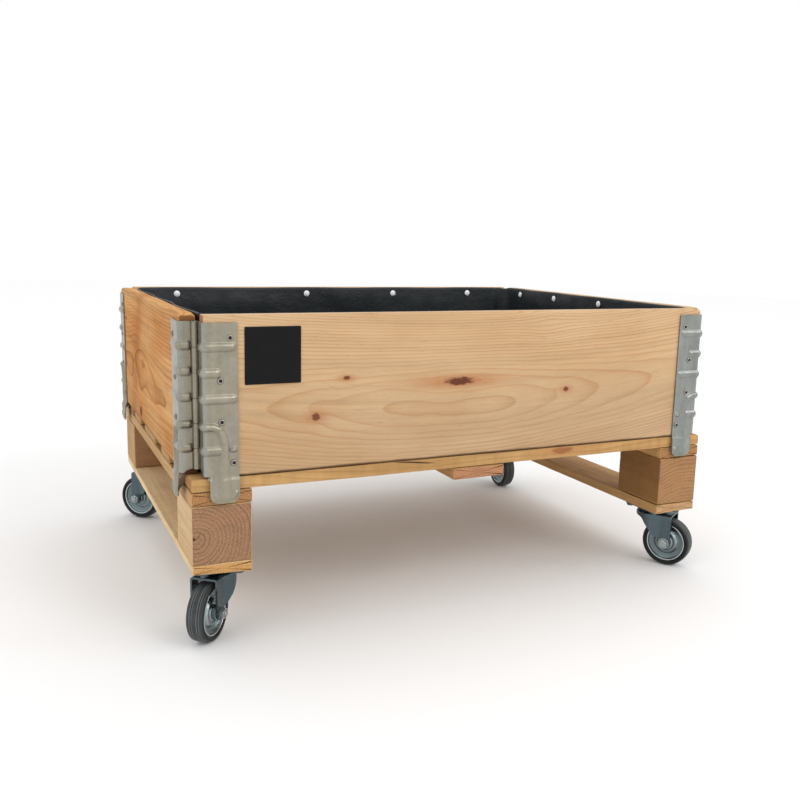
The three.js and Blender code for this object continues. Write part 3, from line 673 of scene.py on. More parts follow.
def metalPaint(name, look):
    # Zinc: a base colour broken up by crystals, dull bloom, scratches and a little rust. The hinges'
    # sheet carries a painted bluish highlight along its bends and lit copies of its colour, warmer on
    # the left and greyer on the right; a piece's own tone paints highlights on the small parts.
    paint = Paint(name, {"Metallic": look["metal"], "Specular IOR Level": 0.5})
    x, y, z, point = paint.place()
    sockets = {"Vector": point, "Scale": look["flake"]}
    flake = paint.node("TexVoronoi", {"feature": "F1"}, sockets, out="Color")
    facet = paint.node("SeparateColor", None, {0: flake}) - 0.5
    cloud = paint.noise(point, 22, 4, 0.55)
    bloom = paint.noise(point, 75, 6, 0.7)
    scratch = paint.noise(paint.vector(x * 260, y * 260, z * 30), 1, 2)
    streaks = paint.noise(paint.vector(x * 90, y * 90, z * 7), 1, 3)
    tone = facet * look["spangle"] + (cloud + streaks - 1) * look["cloud"] + 1
    colour = look["colour"]
    if "paintedHingeLight" in look:
        paintedHingeLight = look["paintedHingeLight"]
        # painted light: the right-hand hinges take a greyer copy of the colour
        colour = paint.mix(paint.ease(x, -0.1, 0.1), colour, paintedHingeLight["right lit colour"])
        # painted highlight: a bluish band along each leaf's bend
        across, inwards = (x - paintedHingeLight["centre"][0]).size(), (y - paintedHingeLight["centre"][1]).size()
        places = (across, inwards, paintedHingeLight["front"]), (inwards, across, paintedHingeLight["side"])
        for one, other, (at, beyond) in places:
            bendHighlight = paint.ease((one - at).size(), 0.0004, 0.0050, 0.5, 0)
            colour = paint.mix(bendHighlight * other.math("GREATER_THAN", beyond), colour, paintedHingeLight["colour"])
    # painted highlight: a piece's tone mixes its colour towards a highlight colour
    if "bright" in look:
        colour = paint.mix(paint.pieceTone(), colour, look["bright"])
    colour = paint.shaded(colour, tone)
    colour = paint.mix(paint.ease(bloom, 0.5, 0.78, 0, look["bloom"]), colour, look["bloom colour"])
    rust = paint.ease(paint.noise(point, 46, 6, 0.75), 0.66, 0.8, 0, look["rust"])
    colour = paint.mix(rust, colour, (0.30, 0.13, 0.05))
    roughness = (cloud - 0.5) * 0.2 + (scratch - 0.5) * 0.08 + facet * look["spangle"] + rust * 0.3
    height = cloud * 0.6 + scratch * 0.15 + bloom * 0.2
    return paint.finish(colour, roughness + look["rough"], paint.bump(height, 0.0004, look["relief"]))


plating = {"metal": 0.9, "flake": 500, "spangle": 0.03}
galvanised = metalPaint("galvanised_steel", {
    "metal": 0.8, "flake": 210, "spangle": 0.12, "cloud": 0.46, "bloom": 0.34, "rust": 0.4, "rough": 0.34,
    "relief": 0.35, "colour": (0.285, 0.26, 0.20), "bloom colour": (0.37, 0.37, 0.34),
    "paintedHingeLight": {"colour": (0.30, 0.335, 0.335), "right lit colour": (0.25, 0.262, 0.24),
              "centre": (0.00168, 0.00326), "front": (0.3775, 0.2955), "side": (0.2708, 0.3955)},
})
blueZinc = metalPaint("blue_zinc", {
    **plating, "colour": (0.088, 0.122, 0.138), "cloud": 0.22, "bloom": 0.1,
    "bloom colour": (0.16, 0.19, 0.2),
    "rust": 0.05, "rough": 0.28, "relief": 0.06,
})
wheelZinc = metalPaint("wheel_zinc", {
    **plating, "colour": (0.155, 0.20, 0.212), "bright": (0.66, 0.73, 0.75), "cloud": 0.2, "bloom": 0.1,
    "bloom colour": (0.2, 0.24, 0.25), "rust": 0.03, "rough": 0.22, "relief": 0.05,
})
boltZinc = metalPaint("bolt_zinc", {
    **plating, "colour": (0.34, 0.38, 0.38), "cloud": 0.3, "bloom": 0.15, "bloom colour": (0.2, 0.23, 0.23),
    "rust": 0.1, "rough": 0.27, "relief": 0.06,
})
# painted shade: the rivets' own colour is near black, and only their ring takes the lit metal colour
rivetSteel = metalPaint("rivet_steel", {
    **plating, "metal": 0.7, "colour": (0.026, 0.020, 0.017), "bright": (0.36, 0.345, 0.30), "cloud": 0.3,
    "bloom": 0.05, "bloom colour": (0.2, 0.18, 0.15), "rust": 0.1, "rough": 0.35, "relief": 0.1,
})

hinge = {
    "sheet": 1.8, "bend": 3.2, "faceGap": 0.3, "reach": 42.5, "top": 9.0, "bottom": 3.0, "knuckle": 4.5,
    "gap": 0.5, "pin": 2.4, "foot": 31.0, "footRound": 11.0, "joggle": 2.4, "joggleRise": 8.0,
    "shoulder": 6.6,
    "archRadius": 15.0, "archHeight": 5.0, "setback": {"long": 22.7, "short": 29.3}, "endLimit": 20.0,
    "cornerRound": 1.6, "curl": 322, "knuckles": 6,
    # each bead: height above the deck, reach from the bend
    "beads": ((159, 31.5), (128, 13.5), (96.5, 32.5), (34, 17.5)), "beadWidth": 6.2, "beadHeight": 3.0,
    "beadWrap": 8.0, "beadLevels": (159, 128, 96.5, 65, 34),
    # the broad bead that bends down into the foot, as distances from the bend and heights
    "swan": ((0, 63.5), (8, 63), (15, 60), (20, 53), (22.5, 43), (22.5, 30), (20, 12), (18, -5),
             (17.5, -22)),
    "swanHeight": 3.8,
    # small dents: ends, width, height
    "dimples": (([(31.0, 34.5), (34.0, 34.5)], 3.6, 3.0), ([(9.0, -19.0), (12.0, -24.0)], 3.6, 2.3),
                ([(34.5, -19.0), (31.5, -24.0)], 3.6, 2.3)),
    "rivets": ((21, 116), (22, 66), (36, 15.4), (33, 167)), "rivetSegments": 20,
}
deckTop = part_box("deck_board_front")[1][2] / mm
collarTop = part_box("plank_front")[1][2] / mm
outer = {(-1, 0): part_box("plank_left")[0][0] / mm, (1, 0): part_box("plank_right")[1][0] / mm,
         (0, -1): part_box("plank_front")[0][1] / mm, (0, 1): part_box("plank_back")[1][1] / mm}


def toLine(x, y, route):
    # the least distance from points to a polyline
    least = np.full(np.shape(x), np.inf)
    for (ax, ay), (bx, by) in zip(route, route[1:]):
        run = np.array([bx - ax, by - ay], float)
        t = np.clip(((x - ax) * run[0] + (y - ay) * run[1]) / (run @ run), 0, 1)
        least = np.minimum(least, np.hypot(x - ax - t * run[0], y - ay - t * run[1]))
    return least


def cutCorner(radius, distance):
    # how far a round corner lies inside the square one, at a distance from its side
    return radius - np.sqrt(np.clip(radius ** 2 - np.clip(radius - distance, 0, radius) ** 2, 0, None))


def leafPlan(kind, look):
    # where the leaf's plates lie and its pin stands, from the plank's end and the collar's outside
    setback, other = look["setback"][kind], look["setback"]["short" if kind == "long" else "long"]
    toFace, toPin = look["faceGap"] + look["sheet"], look["faceGap"] + look["knuckle"]
    return {
        "setback": setback, "endOuter": setback - toFace, "faceOuter": -toFace, "pinAlong": setback - toPin,
        "pinIn": other - toPin, "low": deckTop + look["bottom"], "high": collarTop - look["top"],
    }


def leafSurface(kind, look):
    # A bent sheet. Across it the path runs along the face plate, round the bend, along the end plate
    # and round the pin; upwards it is height. Beads and the foot's step push it out along its own
    # normal. Its lower outline lifts the points below it onto itself, and faces between knuckles go.
    plan = leafPlan(kind, look)
    endOuter, faceOuter, pinAlong, pinIn, low, high = (
        plan[key] for key in ("endOuter", "faceOuter", "pinAlong", "pinIn", "low", "high"))
    bend = look["bend"]
    endStop = min(pinIn - look["knuckle"] - look["gap"], look["endLimit"])
    inner = look["knuckle"] - look["sheet"]
    faceRun, bendEnd, endRun, armEnd, total = np.cumsum([
        look["reach"] - bend, bend * math.pi / 2, endStop - faceOuter - bend, pinIn - endStop,
        inner * math.radians(look["curl"])])
    step = look["shoulder"] - bend
    s = np.unique(np.concatenate([
        [0, 0.5, 1.4, 2.6], np.linspace(4, faceRun - step - 4.2, 20),
        faceRun - step + np.array([-3.2, -1.6, -0.7, -0.2, -0.02, 0.0, 1.5]),
        np.linspace(faceRun, bendEnd, 8), np.linspace(bendEnd, endRun, 10), np.linspace(endRun, armEnd, 3),
        np.linspace(armEnd, total, 19)]))
    pitch = (high - low) / look["knuckles"]
    knuckles = [(low + k * pitch + look["gap"] / 2, low + (k + 1) * pitch - look["gap"] / 2)
                for k in range(0 if kind == "long" else 1, look["knuckles"], 2)]
    beadLevels = [deckTop + at + np.arange(-7.2, 7.3, 0.8) for at in look["beadLevels"]]
    levels = np.concatenate([np.arange(deckTop - look["foot"], low + 8, 1.3), np.arange(low + 8, high, 3.6),
                             *beadLevels])
    edges = np.array([low, high] + [z for pair in knuckles for z in pair])
    levels = np.unique(np.append(levels[np.abs(levels[:, None] - edges).min(1) > 0.6], edges))
    levels = levels[np.append(True, np.diff(levels) > 0.2)]
    pathAt, levelAt = np.meshgrid(s, levels)

    turn = np.clip((pathAt - faceRun) / bend, 0, math.pi / 2)
    curl = np.clip((pathAt - armEnd) / inner, 0, None)
    onFace, onCurl = pathAt < faceRun, pathAt >= armEnd
    along = endOuter + np.where(onFace, look["reach"] - pathAt, bend - bend * np.sin(turn))
    along = np.where(onCurl, pinAlong + inner * np.cos(curl), along)
    inwards = faceOuter + bend - bend * np.cos(turn) + np.clip(pathAt - bendEnd, 0, None)
    inwards = np.where(onCurl, pinIn + inner * np.sin(curl), inwards)
    normalA = np.where(onCurl, -np.cos(curl), -np.sin(turn))
    normalI = np.where(onCurl, -np.sin(curl), -np.cos(turn))

    footEnd = faceRun - step
    foot = deckTop - look["foot"] + cutCorner(look["footRound"], np.minimum(pathAt, footEnd - pathAt))
    arch = 1 - ((pinAlong - along) ** 2 + (pinIn - inwards) ** 2) / look["archRadius"] ** 2
    arch = low + look["archHeight"] * np.sqrt(np.clip(arch, 0, None))
    bottom = np.where(pathAt < footEnd, foot, np.where(pathAt > faceRun, arch, low))
    levelAt = np.clip(levelAt, bottom, high - cutCorner(look["cornerRound"], pathAt))

    raised = np.zeros_like(pathAt)
    wrap = -bend * math.pi / 2 - look["beadWrap"]
    width, height = look["beadWidth"], look["beadHeight"]
    lifts = [([(wrap, at), (length, at)], width, height) for at, length in look["beads"]]
    for route, width, height in (*lifts, *look["dimples"]):
        d = toLine(faceRun - pathAt, levelAt - deckTop, route) / width
        raised = np.maximum(raised, height * np.clip(1 - d * d, 0, 1) ** 1.1)
    width = look["beadWidth"] * (0.9 + 0.9 * smooth(deckTop + 34 - levelAt, 0, 34))
    d = toLine(faceRun - pathAt, levelAt - deckTop, [(wrap, look["swan"][0][1]), *look["swan"]]) / width
    height = look["swanHeight"] * (1 - 0.45 * smooth(deckTop + 20 - levelAt, 0, 40))
    raised = np.maximum(raised, height * np.clip(1 - d * d, 0, 1) ** 1.1) * (pathAt < endRun)
    stepOut = look["joggle"] * smooth(low - levelAt, 0, look["joggleRise"]) * onFace
    dent = 0.132 * waves(int(plan["setback"]), pathAt * 0.09, levelAt * 0.05) * onFace
    out = raised + stepOut + dent
    points = np.stack([along + normalA * out, inwards + normalI * out, levelAt], -1)

    middles = levels[:-1] + np.diff(levels) / 2
    isKnuckle = np.any([(middles > a) & (middles < b) for a, b in knuckles], 0)
    isPlate = (s[:-1] + np.diff(s) / 2) < endRun
    return points, gridFaces(*pathAt.shape)[(isKnuckle[:, None] | isPlate[None, :]).reshape(-1)]


def cornerPlace(points, side, kind):
    # from the leaf's own terms, along the plank and in from the collar's outside, to the room
    along, inwards, z = (np.asarray(points)[..., i] for i in range(3))
    x, y = (along, inwards) if kind == "long" else (inwards, along)
    return np.stack([outer[(side[0], 0)] - side[0] * x, outer[(0, side[1])] - side[1] * y, z], -1) * mm


rivetProfile = rounded([(0.0, 0.5), (1.7, 0.5), (2.0, 1.3), (2.7, 1.7), (3.4, 1.2), (4.2, 0.35), (4.3, -0.6),
                        (0.0, -0.6)], [0.1, 0.3, 0.5, 0.4, 0.3, 0.1], 4)
# painted shade: the rivet's hollow middle and its skirt are dark for the shade in the hollow and the shadow
# round its edge, and the ring between them is bright
rivetShading = smooth(rivetProfile[:, 0], 2.1, 2.5) * (1 - 0.8 * smooth(rivetProfile[:, 0], 3.3, 3.6))
for corner, side in corners.items():
    end, face = corner.split("_")[::-1]
    for kind, plankSide in (("long", face), ("short", end)):
        plan = leafPlan(kind, hinge)
        toFace = (0, side[1], 0) if kind == "long" else (side[0], 0, 0)
        points, quads = leafSurface(kind, hinge)
        points, quads = solidified(cornerPlace(points, side, kind), quads, lambda at: Vector(toFace),
                                   hinge["sheet"] * mm)
        name = f"hinge_leaf_{corner}_on_{plankSide}_plank"
        makePiece(name + "_sheet", points, quads, galvanised, "collar", "galvanised_steel", name,
                  recalc=False, sharp=50)
        axes = np.array([np.cross(toFace, (0, 0, 1)), (0, 0, 1), toFace], float).T
        rivets = []
        for along, up in hinge["rivets"]:
            z = (plan["low"] if up < 120 else plan["high"] - 185) + up
            spot = cornerPlace((plan["endOuter"] + along, plan["faceOuter"] + 0.2, z), side, kind)
            rivets.append(placed(turned(rivetProfile, hinge["rivetSegments"], mm), axes, spot))
        points, quads = joined(*rivets)
        tone = np.tile(np.repeat(rivetShading, hinge["rivetSegments"]), len(rivets))
        makePiece(f"rivets_{corner}_on_{plankSide}", points, quads, rivetSteel, "collar", "galvanised_steel",
                  sharp=50, tone=tone)
    low, high, radius = plan["low"] + 6.5, plan["high"], hinge["pin"]
    pinProfile = rounded([(0, low), (radius, low), (radius, high + 0.2), (0, high + 0.9)], [0.5, 0.8])
    pinCentre = cornerPlace((plan["pinAlong"], plan["pinIn"], 0), side, "short")
    points, quads = placed(turned(pinProfile, 24, mm), np.eye(3), pinCentre)
    makePiece("hinge_rod_" + corner, points, quads, blueZinc, "collar", "galvanised_steel",
              "hinge_pin_" + corner, sharp=50)
print("hinges")

label = {"cornerRound": 1.4, "edgeRound": 0.25}
low, high = (np.array(corner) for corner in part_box("label_plate"))
depth, edge = high[1] - low[1], label["edgeRound"] * mm
sides = [(0, 0), (0, depth - edge), (edge * 0.3, depth - edge * 0.3), (edge, depth)]
paint = Paint("label_black", {"Specular IOR Level": 0.12})
point = paint.place()[3]
scuff = paint.noise(point, 60, 5, 0.65)
dust = paint.ease(paint.noise(point, 420, 3, 0.6), 0.62, 0.8, 0, 0.12)
shade = paint.mix(scuff, (0.0035, 0.0035, 0.004), (0.008, 0.008, 0.0085))
labelBlack = paint.finish(paint.mix(dust, shade, (0.05, 0.048, 0.045)), scuff * 0.25 + 0.36,
                          paint.bump(scuff, 0.0003, 0.25))
lyingToFront = np.array([(1, 0, 0), (0, 0, 1), (0, -1, 0)]).T  # turns a level surface to face the front
card = plate(*((high - low)[[0, 2]] / 2), label["cornerRound"] * mm, sides)
points, quads = placed(card, lyingToFront, ((low[0] + high[0]) / 2, high[1], (low[2] + high[2]) / 2))
makePiece("label_card", points, quads, labelBlack, "collar", "label_black", "label_plate", sharp=60)

film = {
    "wall": 1.9, "cornerRound": 24, "coveRound": 10, "sheet": 0.5, "pinDrop": 12, "bulge": 5.5,
    "scallop": 0.4,
    "rise": 1.8, "notch": 6.0, "notchWidth": 3.2, "pinRadius": 5.6, "pinRise": 3.2, "fullest": 11,
    "pins": {"back": (-0.304, -0.062, 0.117, 0.285), "right": (0.218, 0.0965, -0.044),
             "front": (-0.29, -0.09, 0.1, 0.27), "left": (0.17, 0.02, -0.15)},
    # upright folds: height, count round the liner, start, lean
    "folds": ((0.9, 37, 0.4, 2.5), (0.8, 61, 1.9, -3.0), (0.5, 97, 0.2, 4.0), (0.5, 139, 2.7, -2.0)),
    "flat": (1.15, 0.95), "area": 0.94,
}
linerLow, linerHigh = (np.array(corner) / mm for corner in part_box("liner"))
centre = (linerLow + linerHigh) / 2
halfX, halfY = (linerHigh - linerLow)[:2] / 2 - film["wall"] * 0.25
run, outwards = sectionPath(halfX, halfY, film["cornerRound"], film["cornerRound"], 7.0)
lengths = np.linalg.norm(np.diff(np.vstack([run, run[:1]]), axis=0), axis=1)
perimeter = lengths.sum()
travel = np.append(0, np.cumsum(lengths))[:-1]
pinSpots = []
for wall, spots in film["pins"].items():
    for spot in spots:
        if wall in ("back", "front"):
            pinSpots.append((spot / mm, halfY if wall == "back" else -halfY))
        else:
            pinSpots.append((halfX if wall == "right" else -halfX, spot / mm))
pinTravel = np.sort([travel[np.hypot(run[:, 0] - x, run[:, 1] - y).argmin()] for x, y in pinSpots])
stops = np.concatenate([[pinTravel[-1] - perimeter], pinTravel, [pinTravel[0] + perimeter]])
index = np.searchsorted(stops, travel, side="right") - 1
between = (travel - stops[index]) / (stops[index + 1] - stops[index])
slack = np.sin(np.pi * between) ** 2  # 0 at each pin and 1 midway
topZ, floorZ = linerHigh[2], linerLow[2] + 0.3

# Down the wall: from the edge to the cove, a quarter circle, and then in to the middle of the floor.
wallRows = np.concatenate([[0, 2, 5, 9, 12, 16], np.linspace(22, topZ - floorZ - film["coveRound"], 26)])
coveRows = np.radians(np.linspace(0, 90, 7)[1:])
floorRows = np.array([0.985, 0.96, 0.92, 0.86, 0.78, 0.68, 0.57, 0.46, 0.35, 0.24, 0.14, 0.06, 0.0])
cove, onWall, flatRows = film["coveRound"], 0 * wallRows, 0 * floorRows
down = np.concatenate([wallRows, topZ - floorZ + 0 * coveRows, topZ - floorZ + flatRows])
inset = np.concatenate([onWall, cove * (1 - np.cos(coveRows)), cove + flatRows])
level = np.concatenate([topZ - wallRows, floorZ + cove * (1 - np.sin(coveRows)), floorZ + flatRows])
shrink = np.concatenate([onWall + 1, 0 * coveRows + 1, floorRows])
travelAt, downAt = np.meshgrid(travel, down)
flat = (run[None] - outwards[None] * inset[:, None, None]) * shrink[:, None, None]
angle = travelAt / perimeter * 2 * np.pi
depthShare = np.clip(downAt / (topZ - floorZ), 0, 1)
onFloor = (shrink < 0.99)[:, None]
pull = film["bulge"] * slack * np.exp(-((downAt - 20) / 60) ** 2)
folds = 0
for high, count, start, lean in film["folds"]:
    folds = folds + high * np.sin(count * angle + start + depthShare * lean)
folds = folds * (0.35 + 0.65 * slack) * np.sin(np.pi * depthShare) ** 0.6
diagonal = 1.4 * waves(7, travelAt * 0.018 + downAt * 0.03, downAt * 0.02 - travelAt * 0.008, count=5)
inwardsBy = pull + (folds + diagonal + 1.2) * np.clip(downAt / 25, 0.1, 1)
inwardsBy = np.clip(inwardsBy, 0.0, film["fullest"]) * ~onFloor * smooth(inset, cove, 0)[:, None]
flat = flat - outwards[None] * inwardsBy[..., None]
rise = film["rise"] * np.exp(-downAt / 20) - film["scallop"] * slack * np.exp(-downAt / 14)
z = level[:, None] + rise * ~onFloor
x, y = flat[..., 0], flat[..., 1]
floorRipple = 0.9 * waves(17, x * 0.03, y * 0.03) + 0.5 * waves(19, x * 0.09, y * 0.08)
z = z + np.clip(floorRipple + 1.4, 0, 5) * onFloor
corner = np.array([halfX, halfY]) - film["cornerRound"] * 0.3
away = np.hypot(*(run - corner).T)
z = z - film["notch"] * np.exp(-(away / film["notchWidth"]) ** 2) * np.exp(-downAt / 25) * ~onFloor
filmPoints = (np.stack([x, y, z], -1) + [*centre[:2], 0]) * mm

paint = Paint("black_film", {"Specular IOR Level": 0.38})
x, y, z, point = paint.place()
cloud = paint.noise(point, 9, 4, 0.55)
crinkle = paint.noise(point, 46, 5, 0.6)
fineCrease = paint.noise(point, 170, 3, 0.6, "RIDGED_MULTIFRACTAL")
shade = paint.mix(cloud, (0.0065, 0.009, 0.0105), (0.015, 0.020, 0.023))
# painted sheen: a lighter band along the film's top edge
topSheen = paint.ease(z, (topZ - 4) * mm, (topZ - 1) * mm)
shade = paint.mix(topSheen * 0.5, shade, (0.05, 0.055, 0.058))
# painted highlight: the one fold in the back right corner is lightened to a pale grey
foldX, foldY = (corner + centre[:2]) * mm
besideFold = ((x - foldX) * (x - foldX) + (y - foldY) * (y - foldY)).root()
foldHighlight = paint.ease(besideFold, 0.0012, 0.0035, 0.75, 0)
foldHighlight = foldHighlight * paint.ease(z, (topZ - 46) * mm, (topZ - 12) * mm)
shade = paint.mix(foldHighlight, shade, (0.34, 0.36, 0.34))
soil = paint.ease(paint.noise(point, 70, 5, 0.7), 0.6, 0.8, 0, 0.3)
soil = soil * paint.ease(z, (floorZ + 60) * mm, floorZ * mm)
blackFilm = paint.finish(paint.mix(soil, shade, (0.06, 0.05, 0.04)), cloud * 0.2 + crinkle * 0.1 + 0.32,
                         paint.bump(crinkle + fineCrease * 0.25, 0.004, 0.35))
filmPiece = makePiece("liner_film", filmPoints, gridFaces(len(down), len(travel), wrap=True), blackFilm,
                      "collar", "liner_film", "liner", weld=2e-6, sheet=film["sheet"] * mm)

paint = Paint("white_pin", {"Specular IOR Level": 0.5})
point = paint.place()[3]
grain = paint.noise(point, 240, 4, 0.6)
pinWhite = paint.finish(paint.mix(grain, (0.86, 0.865, 0.86), (0.95, 0.955, 0.95)), grain * 0.2 + 0.35,
                        paint.bump(grain, 0.0003, 0.3))
radius, rise = film["pinRadius"], film["pinRise"]
pinProfile = rounded([(0, -1.5), (1.2, -1.5), (1.2, 0), (radius, 0.0), (radius, 1.0),
                      (radius * 0.55, rise * 0.85), (0, rise)], [0.2, 0.1, 0.4, 0.8, 3.0])
heads = []
for x, y in pinSpots:
    inward = np.array([-np.sign(x) * (abs(x) == halfX), -np.sign(y) * (abs(y) == halfY), 0.0])
    axes = np.array([np.cross((0, 0, 1), inward), (0, 0, 1), inward]).T
    spot = np.array([x + centre[0], y + centre[1], topZ - film["pinDrop"] + 2]) + inward * 1.6
    heads.append(placed(turned(pinProfile, 28, mm), axes, spot * mm))
points, quads = joined(*heads)
pins = makePiece("liner_pins", points, quads, pinWhite, "collar", "liner_film", sharp=50)
print("liner")

caster = {
    "yaw": {"front_left": 231.3, "front_right": -59.0, "back_left": 135.2, "back_right": -93.1},
    "wheel": 38.0, "tyre": 24.0, "rim": 31.0, "trail": 27.7, "plate": (60.0, 72.0, 2.5), "plateRound": 7,
    "race": 22.0, "sheet": 2.5, "crown": 25.0, "sweep": 80, "skirt": 6, "half": 18.5, "crease": 19.5,
    "forkEnd": 9.5, "edge": 3.6, "waist": 16, "boltAcross": 13.0, "boltHead": 5.5, "nut": 6.0, "axle": 4.0,
    "screws": (22.5, 28.5), "rib": 4.8,
}


def forkSurface(look, crownTop):
    # From above the outline runs from one trailing edge along a wall, out to the round crown and back.
    # At each of its points a section rises from the lower edge up the wall, round a quarter circle
    # and across the crown to its middle line.
    trail, half, crown, edge = look["trail"], look["half"], look["crown"], look["edge"]
    wheel, end = look["wheel"], look["forkEnd"]
    back = trail + end
    arc = np.radians(np.linspace(look["sweep"], 360 - look["sweep"], 45))
    crownRun = crown * np.column_stack([np.cos(arc), np.sin(arc)])
    wall = back - (back - look["crease"] - 3) * (1 - np.cos(np.linspace(0, np.pi / 2, 14)))
    flareRun = rounded([(back, half), (look["crease"], half), crownRun[0]], [7], 6)[1:-1]
    flare = flareRun[-1] + np.linspace(0, 1, 7)[1:-1, None] * (crownRun[0] - flareRun[-1])
    upper = np.vstack([np.column_stack([wall, half + 0 * wall])[:-1], flareRun, flare])
    plan = np.vstack([upper, crownRun, (upper * [1, -1])[::-1]])
    step = np.gradient(plan, axis=0)
    normal = np.column_stack([step[:, 1], -step[:, 0]]) / np.linalg.norm(step, axis=1)[:, None]
    normal = -normal if normal[0, 1] < 0 else normal

    x = plan[:, 0]
    tangent, lower = trail - end * 0.87, trail - end * 0.5
    lead = rounded([(-25.2, crownTop - look["skirt"]), (-10, crownTop - 9), (-2.5, crownTop - 20),
                    (trail - look["waist"], wheel + end), (tangent, wheel + end * 0.5)], [8, 14, 14], 6)
    slant = np.interp(x, lead[:, 0], lead[:, 1])
    roundEnd = wheel - np.sqrt(np.clip(end ** 2 - (x - trail) ** 2, 0, None))
    joint = np.interp(x, [tangent, lower], [lead[-1, 1], wheel - end * 0.866])
    low = np.where(x > tangent, np.where(x < lower, joint, roundEnd), slant)

    turn = np.radians(np.linspace(0, 90, 6))[:, None]
    rows = np.linspace(0, 1, 14)[:-1, None]
    spineShare = np.linspace(0, 1, 8)[1:]
    z = np.vstack([low + rows * (crownTop - edge - low), crownTop - edge + edge * np.sin(turn) + 0 * x])
    inset = np.vstack([rows * 0 * x, edge * (1 - np.cos(turn)) + 0 * x])
    xy = plan[None] - normal[None] * inset[..., None]
    spine = np.column_stack([np.clip(xy[-1, :, 0], -crown * 0.55, back), 0 * x])
    xy = np.concatenate([xy, xy[-1][None] + spineShare[:, None, None] * (spine - xy[-1])[None]])
    z = np.vstack([z, crownTop + 0 * spineShare[:, None] * x])
    return np.concatenate([xy, z[..., None]], -1)


def ringSurface(half, radii, steps, spacing):
    # a part of the wheel from the outer half of its closed section and the rounding of each corner
    section = rounded([*half, *((r, -h) for r, h in half[::-1]), half[0]], radii, steps)
    profile = finer(section[::-1], spacing)
    return turned(profile, 96, mm), profile


def tyreSurface(look):
    # two narrow grooves beside a broad middle rib
    side, wheel, rim = look["tyre"] / 2, look["wheel"], look["rim"]
    half = [(rim - 1.2, side - 3.0), (rim + 0.2, side - 1.2), (wheel - 4.6, side - 0.1),
            (wheel - 1.6, side - 1.0), (wheel - 0.4, side - 3.0), (wheel - 0.15, side - 6.3),
            (wheel - 1.5, side - 6.7), (wheel - 1.5, side - 7.7), (wheel, side - 8.1)]
    radii = [1.0, 0.8, 2.4, 1.8, 1.0, 0.35, 0.35, 0.35, 0.5]
    return ringSurface(half, [*radii, *radii[::-1]], 5, 0.7)


def rimSurface(look):
    # The pressed centre: a lip that grips the tyre, a dished web with two steps, and the hub.
    rim, bore = look["rim"], look["axle"] + 0.4
    half = [(rim - 0.4, 9.2), (rim - 1.0, 10.4), (rim - 2.2, 10.4), (rim - 3.4, 5.6), (20.5, 4.4),
            (18.4, 6.4), (16.2, 8.6), (13.4, 8.8), (12.4, 7.6), (10.6, 7.6), (9.4, 8.6), (9.4, 14.6),
            (8.6, 15.2), (bore, 15.2)]
    radii = [0.5, 0.5, 1.0, 1.6, 1.6, 1.0, 0.8, 0.6, 0.5, 0.4, 0.3, 0.2, 0.0]
    return ringSurface(half, [*radii, *radii[::-1], 0.2], 4, 0.9)


def around(tone, surface):
    # one tone for each ring of a turned surface
    return np.repeat(tone, surface[0].shape[1])


def highlightRing(radius, centre, width):
    # a painted highlight ring round a radius
    return np.exp(-((radius - centre) / width) ** 2)


paint = Paint("tyre_rubber", {"Specular IOR Level": 0.24})
point = paint.place()[3]
wearAndGlint = paint.pieceTone()
dust = paint.noise(point, 55, 5, 0.65)
speck = paint.noise(point, 600, 3, 0.6)
shade = paint.mix(paint.ease(dust, 0.35, 0.75), (0.0045, 0.005, 0.0055), (0.012, 0.013, 0.0135))
# worn grey crowns and painted highlight lines at the grooves' edges, from the piece's tone
shade = paint.mix(wearAndGlint * (dust * 1.2 + 0.3), shade, (0.14, 0.155, 0.157))
tyreBlack = paint.finish(paint.mix(paint.ease(speck, 0.6, 0.8, 0, 0.15), shade, (0.05, 0.05, 0.05)),
                         dust * 0.2 + 0.36, paint.bump(speck + dust, 0.0002, 0.25))

